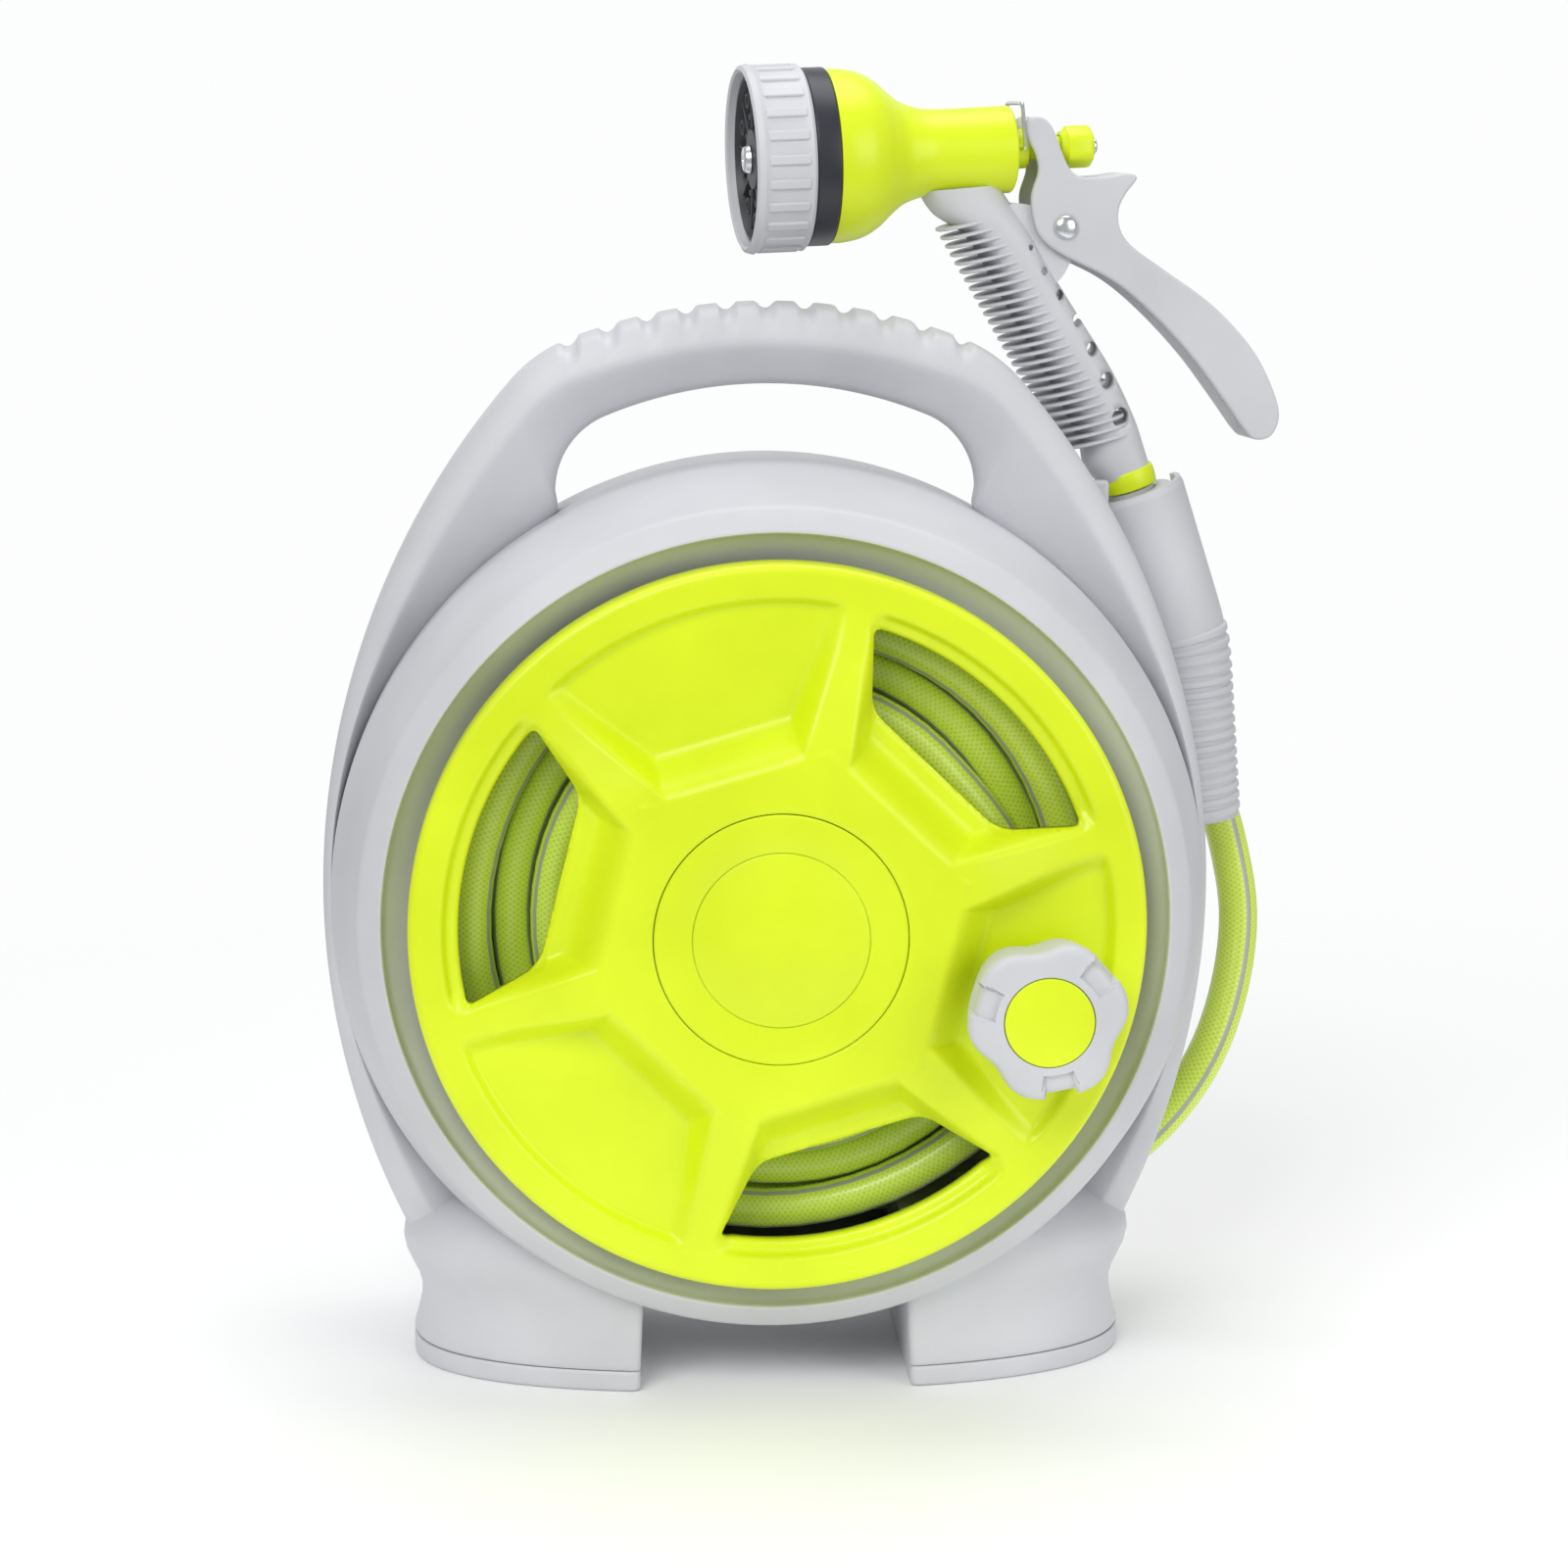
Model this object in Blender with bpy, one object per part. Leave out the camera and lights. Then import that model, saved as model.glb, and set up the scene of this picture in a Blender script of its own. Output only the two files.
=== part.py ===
"""Hand-carried garden hose reel with a seven-pattern spray gun, hose wound on the drum.

World frame: +X to the right, -Y towards the front, +Z up, floor at Z = 0.
The drum turns about an axis along Y. All sizes are in metres.
"""
import math

import bmesh
import bpy
from mathutils import Matrix, Vector

MM = 0.001
GAP = 0.3 * MM          # gap between pieces that touch

# ---------------------------------------------------------------- driving sizes
# placing of the whole reel, so that its outer box stands centred on the origin
SHIFT_X = -13.0 * MM
SHIFT_Y = 9.3 * MM

# case
DRUM_Z = 142 * MM       # height of the drum axis
CASE_HALF_WIDTH = 133 * MM
CASE_TOP = 318 * MM     # top of the carrying handle
SHOULDER_DROP = 50 * MM     # the side arc's upper end: below the top, and in from the widest place
SHOULDER_IN = 37.2 * MM
TOP_ARC_R = 160 * MM
CORNER_R = 45 * MM
FRAME_HALF_DEPTH = 13 * MM
FRAME_BEVEL = 4 * MM
WEB_HALF_DEPTH = 6 * MM
FRAME_BAND = 19 * MM    # width of the thick outer band of the frame
SHELL_R = 130 * MM      # round drum housing at its middle
SHELL_WALL = 3 * MM
SHELL_STRAIGHT = 22 * MM
CREASE_R = 121 * MM
CREASE_Y = 54 * MM
LIP_R = 113.7 * MM
LIP_Y = 59.6 * MM
LIP_DEPTH = 3.5 * MM
BACK_WALL_Y = 46 * MM
BACK_WALL = 3 * MM
BACK_RIM_Y = 58.5 * MM
BOSS_R = 26 * MM
BOSS_END_Y = 57 * MM
BOSS_INNER_Y = 40 * MM

# handle hole
HOLE_HALF_WIDTH = 62.5 * MM
HANDLE_THICKNESS = 24 * MM
HOLE_TOP_R = 125 * MM
HOLE_CORNER_R = 24 * MM
GRIP_SCALLOPS = 11
SCALLOP_PITCH = 11.6 * MM
SCALLOP_R = 5.5 * MM
SCALLOP_DEPTH = 2.2 * MM

# feet
FOOT_INNER_X = 40 * MM
FOOT_HALF_LENGTH = 108.5 * MM
FOOT_HALF_DEPTH = 52.5 * MM
FOOT_ROUNDNESS = 2.4
FOOT_TOP = 50 * MM
SOLE_HEIGHT = 6 * MM

# drum
RIM_R = 106 * MM
RIM_FRONT_Y = -68.5 * MM
RIM_INNER_R = 96.5 * MM
PANEL_Y = -65.5 * MM
PLATE_BACK_Y = -56 * MM
HUB_R = 52 * MM
HUB_FRONT_Y = -75 * MM
HUB_CAP_R = 36.2 * MM
HUB_CAP_Y = -78.4 * MM
WINDOW_COUNT = 3
WINDOW_ANGLE = math.radians(46)
WINDOW_OUTER_R = 91.7 * MM
WINDOW_CHORD = 64.2 * MM
WINDOW_HALF_CHORD = 25.3 * MM
WINDOW_HALF_ANGLE = math.radians(27)
ARM_WIDTH = 13 * MM
ARM_FRONT_Y = -71.5 * MM
BARREL_R = 48 * MM
BARREL_WALL = 3 * MM
REAR_FLANGE_R = 106 * MM
REAR_FLANGE_THICK = 3 * MM
BUSH_WALL = 3 * MM

# hose
HOSE_D = 12 * MM
COIL_TURNS_WIDE = 6
COIL_LAYERS = 4
TURN_PITCH = 12.15 * MM
LAYER_PITCH = 10.6 * MM
COIL_FRONT_Y = -46 * MM

# crank knob
KNOB_ARM = 76.5 * MM
KNOB_ANGLE = math.radians(-15)
KNOB_R = 23.5 * MM
KNOB_LENGTH = 26 * MM
KNOB_FRONT_Y = -100 * MM
KNOB_CAP_R = 12.7 * MM
SPINDLE_R = 4 * MM
KNOB_BOSS_R = 12 * MM

# water inlet at the back
INLET_BORE_R = 4 * MM
INLET_SHAFT_R = 8 * MM
INLET_BODY_R = 14 * MM
INLET_FLANGE_R = 20 * MM
INLET_NIPPLE_R = 8 * MM
INLET_END_Y = 82 * MM

# spray gun: its own upright plane, turned a little towards the front
GUN_X = 112.5 * MM
GUN_Y = 30 * MM
GUN_Z = 262 * MM
GUN_YAW = math.radians(7.5)
PULL_TILT = math.radians(18)
BARREL_TILT = math.radians(2)
GUN_NECK_R = 13 * MM
GUN_BELL_R = 25.8 * MM
DIAL_R = 28 * MM
DIAL_LENGTH = 18 * MM
BODY_LENGTH = 56.5 * MM
BAND_LENGTH = 7 * MM
STEM_R = 3.4 * MM
TRIGGER_HALF_WIDTH = 8.5 * MM
FORK_HALF_WIDTH = 6.3 * MM     # inside of the trigger's channel
STEM_SLOT = 4.2 * MM            # half width of the slot that the stem passes
PIVOT_R = 2.5 * MM
FIN_COUNT = 13
FIN_SLOT = 2.6 * MM

# holster and hose connector on the pull axis (measured down from the mouth)
HOLSTER_TOP = 3.5 * MM
SLEEVE_PLAY = 0.7 * MM      # between the connector's sleeve and the holster's bore
HOLSTER_WALL = 2.8 * MM
HOLSTER_UPPER = 49 * MM
HOLSTER_LOWER = 56 * MM
LOWER_TILT = math.radians(4.5)
SLOT_FROM = math.radians(12)
SLOT_TO = math.radians(118)
NIPPLE_R = 7.5 * MM
CONNECTOR_R = NIPPLE_R + 3.5 * MM
SLEEVE_R = CONNECTOR_R + 2.3 * MM
HOLSTER_BORE_R = SLEEVE_R + SLEEVE_PLAY
HOSE_TAIL_R = HOSE_D / 2 + 1.5 * MM


# ---------------------------------------------------------------- helpers
def clear_scene():
    for item in list(bpy.data.objects):
        bpy.data.objects.remove(item, do_unlink=True)


def material(name, colour, roughness, metallic=0.0):
    found = bpy.data.materials.get(name)
    if found:
        return found
    new = bpy.data.materials.new(name)
    new.use_nodes = True
    shader = new.node_tree.nodes["Principled BSDF"]
    shader.inputs["Base Color"].default_value = (*colour, 1.0)
    shader.inputs["Roughness"].default_value = roughness
    shader.inputs["Metallic"].default_value = metallic
    return new


def empty(name, parent=None, location=(0, 0, 0), rotation=(0, 0, 0)):
    item = bpy.data.objects.new(name, None)
    bpy.context.collection.objects.link(item)
    item.parent = parent
    item.location = location
    item.rotation_euler = rotation
    return item


def place(name, mesh_data, mat, parent, location=(0, 0, 0), rotation=(0, 0, 0)):
    """Turn a bmesh into an object, faces out, round faces smooth."""
    bmesh.ops.remove_doubles(mesh_data, verts=mesh_data.verts, dist=1e-6)
    bmesh.ops.recalc_face_normals(mesh_data, faces=mesh_data.faces)
    mesh = bpy.data.meshes.new(name)
    mesh_data.to_mesh(mesh)
    mesh_data.free()
    mesh.shade_smooth()
    mesh.set_sharp_from_angle(angle=math.radians(35))
    item = bpy.data.objects.new(name, mesh)
    bpy.context.collection.objects.link(item)
    if mat:
        mesh.materials.append(mat)
    item.parent = parent
    item.location = location
    item.rotation_euler = rotation
    return item


def combine(target, mesh_data, operation, name, location=(0, 0, 0), rotation=(0, 0, 0)):
    """Add to or cut from the target with a hidden tool object, in the target's parent's space."""
    tool = place(name, mesh_data, None, target.parent, location, rotation)
    tool.hide_render = True
    tool.display_type = "WIRE"
    step = target.modifiers.new(name, "BOOLEAN")
    step.operation = operation
    step.solver = "EXACT"
    step.object = tool
    return tool


def cut(target, mesh_data, name, location=(0, 0, 0), rotation=(0, 0, 0)):
    return combine(target, mesh_data, "DIFFERENCE", name, location, rotation)


def add(target, mesh_data, name, location=(0, 0, 0), rotation=(0, 0, 0)):
    return combine(target, mesh_data, "UNION", name, location, rotation)


def loft(rings):
    """Closed solid through rings of the same number of points, with flat ends."""
    shape = bmesh.new()
    rows = []
    for ring in rings:
        rows.append([shape.verts.new(point) for point in ring])
    count = len(rows[0])
    for lower, upper in zip(rows, rows[1:]):
        for i in range(count):
            j = (i + 1) % count
            shape.faces.new((lower[i], lower[j], upper[j], upper[i]))
    shape.faces.new(rows[0])
    shape.faces.new(rows[-1])
    return shape


def prism(outline, low, high, axis="Y"):
    """Flat outline carried along an axis; the outline's pairs are the other two axes."""
    spots = {"X": lambda a, b, h: (h, a, b),
             "Y": lambda a, b, h: (a, h, b),
             "Z": lambda a, b, h: (a, b, h)}
    spot = spots[axis]
    return loft([[spot(a, b, low) for a, b in outline],
                 [spot(a, b, high) for a, b in outline]])


def box(low, high):
    (x0, y0, z0), (x1, y1, z1) = low, high
    return prism([(x0, y0), (x1, y0), (x1, y1), (x0, y1)], z0, z1, "Z")


def turned(profile, steps, axis="Y", ring=False):
    """Solid of revolution. The profile's pairs are radius and place along the axis."""
    spots = {"X": lambda c, s, h: (h, c, s),
             "Y": lambda c, s, h: (c, h, s),
             "Z": lambda c, s, h: (c, s, h)}
    spot = spots[axis]
    shape = bmesh.new()
    rows = []
    for radius, along in profile:
        if radius < 1e-7:
            rows.append([shape.verts.new(spot(0, 0, along))])
            continue
        row = []
        for i in range(steps):
            angle = 2 * math.pi * i / steps
            row.append(shape.verts.new(spot(radius * math.cos(angle), radius * math.sin(angle), along)))
        rows.append(row)
    pairs = list(zip(rows, rows[1:]))
    if ring:
        pairs.append((rows[-1], rows[0]))
    for lower, upper in pairs:
        for i in range(steps):
            j = (i + 1) % steps
            if len(lower) == 1 and len(upper) == 1:
                continue
            if len(lower) == 1:
                shape.faces.new((lower[0], upper[j], upper[i]))
            elif len(upper) == 1:
                shape.faces.new((lower[i], lower[j], upper[0]))
            else:
                shape.faces.new((lower[i], lower[j], upper[j], upper[i]))
    return shape


def rod(radius, low, high, steps=16, axis="Y"):
    return turned([(0, low), (radius, low), (radius, high), (0, high)], steps, axis)


def tube(outer, inner, low, high, steps=32, axis="Y"):
    return turned([(outer, low), (outer, high), (inner, high), (inner, low)], steps, axis, ring=True)


def merged(shapes):
    """Several separate tool shapes as one mesh, for one cut."""
    whole = bmesh.new()
    for shape in shapes:
        mesh = bpy.data.meshes.new("scratch")
        bmesh.ops.recalc_face_normals(shape, faces=shape.faces)
        shape.to_mesh(mesh)
        whole.from_mesh(mesh)
        shape.free()
        bpy.data.meshes.remove(mesh)
    return whole


def moved(shape, offset=(0, 0, 0), turn=None):
    if turn:
        bmesh.ops.transform(shape, matrix=turn, verts=shape.verts)
    bmesh.ops.translate(shape, vec=Vector(offset), verts=shape.verts)
    return shape


def arc(centre, radius, start, end, steps):
    points = []
    for i in range(steps + 1):
        angle = start + (end - start) * i / steps
        points.append((centre[0] + radius * math.cos(angle), centre[1] + radius * math.sin(angle)))
    return points


def inner_fillet(first, first_r, second, second_r, radius):
    """Centre of a circle that touches two larger circles from inside, on the upper right side."""
    d1 = first_r - radius
    d2 = second_r - radius
    base = Vector(second) - Vector(first)
    length = base.length
    along = (d1 * d1 - d2 * d2 + length * length) / (2 * length)
    aside = math.sqrt(max(d1 * d1 - along * along, 0))
    unit = base / length
    normal = Vector((-unit.y, unit.x))
    return Vector(first) + unit * along + normal * aside


def bearing_of(centre, point):
    return math.atan2(point[1] - centre[1], point[0] - centre[0])


# ---------------------------------------------------------------- materials
GREY = ("moulded_grey", (0.60, 0.61, 0.66), 0.45)
LIME = ("moulded_lime", (0.62, 0.87, 0.02), 0.4)
BLACK = ("moulded_black", (0.03, 0.03, 0.04), 0.4)
HOSE = ("hose_pvc", (0.45, 0.70, 0.05), 0.35)
CHROME = ("bright_steel", (0.8, 0.8, 0.82), 0.2, 1.0)
RUBBER = ("seal_rubber", (0.02, 0.02, 0.02), 0.7)


# ---------------------------------------------------------------- case
SHOULDER_RISE = CASE_TOP - SHOULDER_DROP - DRUM_Z
SIDE_ARC_R = (SHOULDER_IN ** 2 + SHOULDER_RISE ** 2) / (2 * SHOULDER_IN)
SIDE_CENTRE = (CASE_HALF_WIDTH - SIDE_ARC_R, DRUM_Z)
TOP_CENTRE = (0.0, CASE_TOP - TOP_ARC_R)


def frame_half(inset, bottom_z):
    """Right half of the frame's outline from the bottom up to the middle of the handle."""
    side_r = SIDE_ARC_R - inset
    top_r = TOP_ARC_R - inset
    corner_r = CORNER_R - inset
    corner = inner_fillet(SIDE_CENTRE, side_r, TOP_CENTRE, top_r, corner_r)
    low = math.asin((bottom_z - DRUM_Z) / side_r)
    join = bearing_of(SIDE_CENTRE, corner)
    top = bearing_of(TOP_CENTRE, corner)
    points = arc(SIDE_CENTRE, side_r, low, join, 14)
    points += arc(corner, corner_r, join, top, 5)[1:]
    points += arc(TOP_CENTRE, top_r, top, math.pi / 2, 5)[1:]
    return points


def mirrored_outline(half):
    return half + [(-x, z) for x, z in reversed(half) if x > 1e-6]


def hole_outline():
    """Handle hole: the round housing below, the underside of the grip above."""
    top_z = CASE_TOP - HANDLE_THICKNESS
    top_centre = (0.0, top_z - HOLE_TOP_R)
    corner_x = HOLE_HALF_WIDTH - HOLE_CORNER_R
    corner_z = top_centre[1] + math.sqrt((HOLE_TOP_R - HOLE_CORNER_R) ** 2 - corner_x ** 2)
    corner = (corner_x, corner_z)
    turn = bearing_of(top_centre, corner)
    low_angle = math.acos(HOLE_HALF_WIDTH / (SHELL_R + GAP))
    half = arc((0.0, DRUM_Z), SHELL_R + GAP, math.pi / 2, low_angle, 6)
    half += arc(corner, HOLE_CORNER_R, 0, turn, 5)
    half += arc(top_centre, HOLE_TOP_R, turn, math.pi / 2, 4)[1:]
    return half + [(-x, z) for x, z in reversed(half) if x > 1e-6]


def foot_plan(side, growth, overlap):
    """Half of a foot's plan: flat inner side, rounded outer corner. side is -1 front, +1 rear."""
    points = [(FOOT_INNER_X, side * overlap)]
    length = FOOT_HALF_LENGTH * growth
    depth = FOOT_HALF_DEPTH * growth
    start = math.acos((FOOT_INNER_X / length) ** (FOOT_ROUNDNESS / 2))
    for i in range(10):
        angle = start * (1 - i / 9)
        x = length * math.cos(angle) ** (2 / FOOT_ROUNDNESS)
        y = depth * abs(math.sin(angle)) ** (2 / FOOT_ROUNDNESS)
        if y > overlap + 1e-5:
            points.append((x, side * y))
    points.append((length, side * overlap))
    return points


FOOT_SECTIONS = ((0.0, 1.0), (0.25, 0.975), (0.5, 0.985), (0.75, 0.965), (0.92, 0.90), (1.0, 0.80))


def foot_block(side, hand):
    """One foot's front or rear half, with the rounded, shoe-like top. hand is -1 left, +1 right."""
    low = SOLE_HEIGHT + GAP
    rings = []
    for share, growth in FOOT_SECTIONS:
        z = low + share * (FOOT_TOP - low)
        rings.append([(hand * x, y, z) for x, y in foot_plan(side, growth, -4 * MM)])
    return loft(rings)


SCREW_HEAD_R = 3.4 * MM
SCREW_HEAD = 2.4 * MM
SCREW_SHANK_R = 1.5 * MM
SCREW_DEPTH = 9 * MM
SCREW_SEAT_Y = 8 * MM
HOUSING_SCREWS = [(x * MM, z * MM) for x, z in
                  ((-70, 277), (70, 277), (-111.5, 68), (111.5, 68), (-72, 22), (72, 22))]
HOLSTER_SCREWS = [(x * MM, z * MM) for x, z in ((90, 258), (101, 236))]
TAB_FRONT_Y = FRAME_HALF_DEPTH + GAP
TAB_THICK = 2.5 * MM


def housing_half(name, side, mat, parent):
    """Front (-1) or rear (+1) half of the case, split on the middle plane."""
    past = -side * 2 * MM
    back = side > 0
    outside = [(0, past), (SHELL_R, past), (SHELL_R, side * SHELL_STRAIGHT), (CREASE_R, side * CREASE_Y)]
    wall_r = SHELL_R - SHELL_WALL
    space = [(0, -side * 5 * MM), (wall_r, -side * 5 * MM), (wall_r, side * (SHELL_STRAIGHT - SHELL_WALL))]
    if back:
        outside += [(CREASE_R - 5 * MM, BACK_RIM_Y), (CREASE_R - 9 * MM, BACK_RIM_Y),
                    (CREASE_R - 9 * MM, BACK_WALL_Y + BACK_WALL), (BOSS_R, BACK_WALL_Y + BACK_WALL),
                    (BOSS_R, BOSS_END_Y), (0, BOSS_END_Y)]
        space += [(CREASE_R - 4 * MM, BACK_WALL_Y), (INLET_BODY_R + 6 * MM, BACK_WALL_Y),
                  (INLET_BODY_R + 6 * MM, BOSS_INNER_Y), (0, BOSS_INNER_Y)]
    else:
        outside += [(LIP_R, -LIP_Y), (0, -LIP_Y)]
        space += [(CREASE_R - 3 * MM, -CREASE_Y + 2 * MM), (LIP_R + GAP, -LIP_Y + LIP_DEPTH),
                  (LIP_R + GAP, -LIP_Y - 10 * MM), (0, -LIP_Y - 10 * MM)]
    half = place(name, moved(turned(outside, 54, "Y"), (0, 0, DRUM_Z)), mat, parent)
    frame = []
    for inset, depth in ((0, -3 * MM), (0, FRAME_HALF_DEPTH - FRAME_BEVEL),
                         (FRAME_BEVEL * 0.3, FRAME_HALF_DEPTH - FRAME_BEVEL * 0.3), (FRAME_BEVEL, FRAME_HALF_DEPTH)):
        frame.append([(x, side * depth, z) for x, z in mirrored_outline(frame_half(inset, 30 * MM))])
    pocket = prism(mirrored_outline(frame_half(FRAME_BAND, 20 * MM)), side * WEB_HALF_DEPTH,
                   side * (FRAME_HALF_DEPTH + 5 * MM))
    band = add(half, loft(frame), name + "_frame")
    cut(band, pocket, name + "_pocket")
    for hand in (-1, 1):
        add(half, foot_block(side, hand), f"{name}_foot_{hand}")
    cut(half, prism(hole_outline(), -40 * MM, 40 * MM), name + "_hole")
    scallops = []
    for i in range(GRIP_SCALLOPS):
        place_x = (i - (GRIP_SCALLOPS - 1) / 2) * SCALLOP_PITCH
        rise = SCALLOP_R - SCALLOP_DEPTH
        lean = math.asin(place_x / TOP_ARC_R)
        spot = (TOP_CENTRE[0] + (TOP_ARC_R + rise) * math.sin(lean), 0,
                TOP_CENTRE[1] + (TOP_ARC_R + rise) * math.cos(lean))
        scallops.append(moved(rod(SCALLOP_R, -30 * MM, 30 * MM, 12), spot))
    cut(half, merged(scallops), name + "_scallops")
    cut(half, turned(space, 54, "Y"), name + "_space", (0, 0, DRUM_Z))
    middle = sorted((side * GAP / 2, -side * 60 * MM))
    cut(half, box((-0.3, middle[0], -0.1), (0.3, middle[1], 0.5)), name + "_split")
    if back:
        cut(half, rod(INLET_BODY_R + GAP, 30 * MM, 80 * MM, 32), name + "_inlet_bore", (0, 0, DRUM_Z))
    return half


def screw_holes(half, name, side):
    holes = []
    for x, z in HOUSING_SCREWS:
        if side > 0:
            holes.append(moved(turned([(0, -5 * MM), (SCREW_SHANK_R + GAP, -5 * MM),
                                       (SCREW_SHANK_R + GAP, SCREW_SEAT_Y),
                                       (SCREW_HEAD_R + GAP, SCREW_SEAT_Y),
                                       (SCREW_HEAD_R + GAP, 70 * MM), (0, 70 * MM)], 12, "Y"), (x, 0, z)))
        else:
            holes.append(moved(rod(SCREW_SHANK_R + GAP, -SCREW_DEPTH - GAP, 5 * MM, 12), (x, 0, z)))
    if side > 0:
        for x, z in HOLSTER_SCREWS:
            holes.append(moved(rod(SCREW_SHANK_R + GAP, 4 * MM, 30 * MM, 12), (x, 0, z)))
    cut(half, merged(holes), name + "_screw_holes")


def screw(name, seat_y, reach_y, mat, parent, location):
    """Pan-head screw, head towards the back of the reel."""
    profile = [(0, reach_y), (SCREW_SHANK_R, reach_y), (SCREW_SHANK_R, seat_y + GAP),
               (SCREW_HEAD_R, seat_y + GAP), (SCREW_HEAD_R, seat_y + GAP + SCREW_HEAD * 0.7),
               (SCREW_HEAD_R * 0.7, seat_y + GAP + SCREW_HEAD), (0, seat_y + GAP + SCREW_HEAD)]
    return place(name, turned(profile, 12, "Y"), mat, parent, location)


LEAD_SLOT_Y = (13.5 * MM, 28.5 * MM)
LEAD_SLOT_X = (30 * MM, 135 * MM)
LEAD_SLOT_Z = (33 * MM, 78 * MM)


def build_case(parent):
    grey = material(*GREY)
    steel = material(*CHROME)
    rubber = material(*RUBBER)
    front = housing_half("front_housing", -1, grey, parent)
    screw_holes(front, "front_housing", -1)
    rear = housing_half("rear_housing", 1, grey, parent)
    screw_holes(rear, "rear_housing", 1)
    # the way in for the hose, low on the right behind the frame
    cut(rear, box((LEAD_SLOT_X[0], LEAD_SLOT_Y[0], LEAD_SLOT_Z[0]),
                  (LEAD_SLOT_X[1], LEAD_SLOT_Y[1], LEAD_SLOT_Z[1])), "lead_slot")
    for i, (x, z) in enumerate(HOUSING_SCREWS, 1):
        screw(f"housing_screw_{i}", SCREW_SEAT_Y, -SCREW_DEPTH, steel, parent, (x, 0, z))
    for hand, word in ((-1, "left"), (1, "right")):
        plan = foot_plan(1, 1.0, 0)[1:-1]
        outline = [(hand * x, y) for x, y in plan] + [(hand * x, -y) for x, y in reversed(plan)]
        place(f"foot_sole_{word}", prism(outline, 0, SOLE_HEIGHT, "Z"), grey, parent)
    inlet = [(INLET_BORE_R, 6 * MM), (INLET_SHAFT_R, 6 * MM), (INLET_SHAFT_R, 34 * MM),
             (INLET_BODY_R, 34 * MM), (INLET_BODY_R, 36.5 * MM), (INLET_BODY_R - 2 * MM, 36.5 * MM),
             (INLET_BODY_R - 2 * MM, BOSS_INNER_Y - GAP), (INLET_BODY_R, BOSS_INNER_Y - GAP),
             (INLET_BODY_R, BOSS_END_Y + GAP), (INLET_FLANGE_R, BOSS_END_Y + GAP),
             (INLET_FLANGE_R, BOSS_END_Y + 3 * MM), (INLET_NIPPLE_R + 2 * MM, BOSS_END_Y + 3 * MM),
             (INLET_NIPPLE_R + 2 * MM, 66 * MM), (INLET_NIPPLE_R, 68 * MM), (INLET_NIPPLE_R, 70 * MM),
             (INLET_NIPPLE_R + 1.5 * MM, 71.5 * MM), (INLET_NIPPLE_R, 73 * MM), (INLET_NIPPLE_R, 75 * MM),
             (INLET_NIPPLE_R - 1.6 * MM, 75 * MM), (INLET_NIPPLE_R - 1.6 * MM, 78 * MM),
             (INLET_NIPPLE_R, 78 * MM), (INLET_NIPPLE_R, INLET_END_Y), (INLET_BORE_R, INLET_END_Y)]
    place("inlet_spigot", turned(inlet, 18, "Y", ring=True), grey, parent, (0, 0, DRUM_Z))
    place("inlet_seal", tube(INLET_NIPPLE_R + 0.2 * MM, INLET_NIPPLE_R - 1.6 * MM + GAP,
                             75 * MM + GAP, 78 * MM - GAP, 24), rubber, parent, (0, 0, DRUM_Z))
    clip = place("spigot_clip", tube(INLET_BODY_R + 4 * MM, INLET_BODY_R - 2 * MM + GAP,
                                     36.5 * MM + GAP, BOSS_INNER_Y - 2 * GAP, 24), steel, parent, (0, 0, DRUM_Z))
    cut(clip, box((-6 * MM, 30 * MM, DRUM_Z - 30 * MM), (6 * MM, 45 * MM, DRUM_Z)), "clip_gap")
    build_holster(parent, grey, steel)


# ---------------------------------------------------------------- holster
def pull_frame(parent):
    """Local Z runs up the pull axis, from the holster's mouth into the gun's handle."""
    plane = empty("gun_plane", parent, (GUN_X, GUN_Y, GUN_Z), (0, 0, GUN_YAW))
    return empty("pull_axis", plane, (0, 0, 0), (0, -PULL_TILT, 0))


def holster_spine():
    """Places and tilts along the holster, in the gun's plane."""
    top = Vector((math.sin(PULL_TILT), 0, -math.cos(PULL_TILT)))
    low = Vector((math.sin(LOWER_TILT), 0, -math.cos(LOWER_TILT)))
    mouth = top * HOLSTER_TOP
    bend = mouth + top * HOLSTER_UPPER
    end = bend + low * HOLSTER_LOWER
    return mouth, bend, end


def open_section(centre, tilt, inner, outer, steps=14):
    """C-shaped ring, open towards the back and the right, where the hose leaves it."""
    ring = []
    across = Vector((math.cos(tilt), 0, math.sin(tilt)))
    depth = Vector((0, 1, 0))
    span = 2 * math.pi - (SLOT_TO - SLOT_FROM)
    for radius, order in ((outer, range(steps + 1)), (inner, reversed(range(steps + 1)))):
        for i in order:
            angle = SLOT_TO + span * i / steps
            ring.append(centre + across * radius * math.cos(angle) + depth * radius * math.sin(angle))
    return ring


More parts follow.
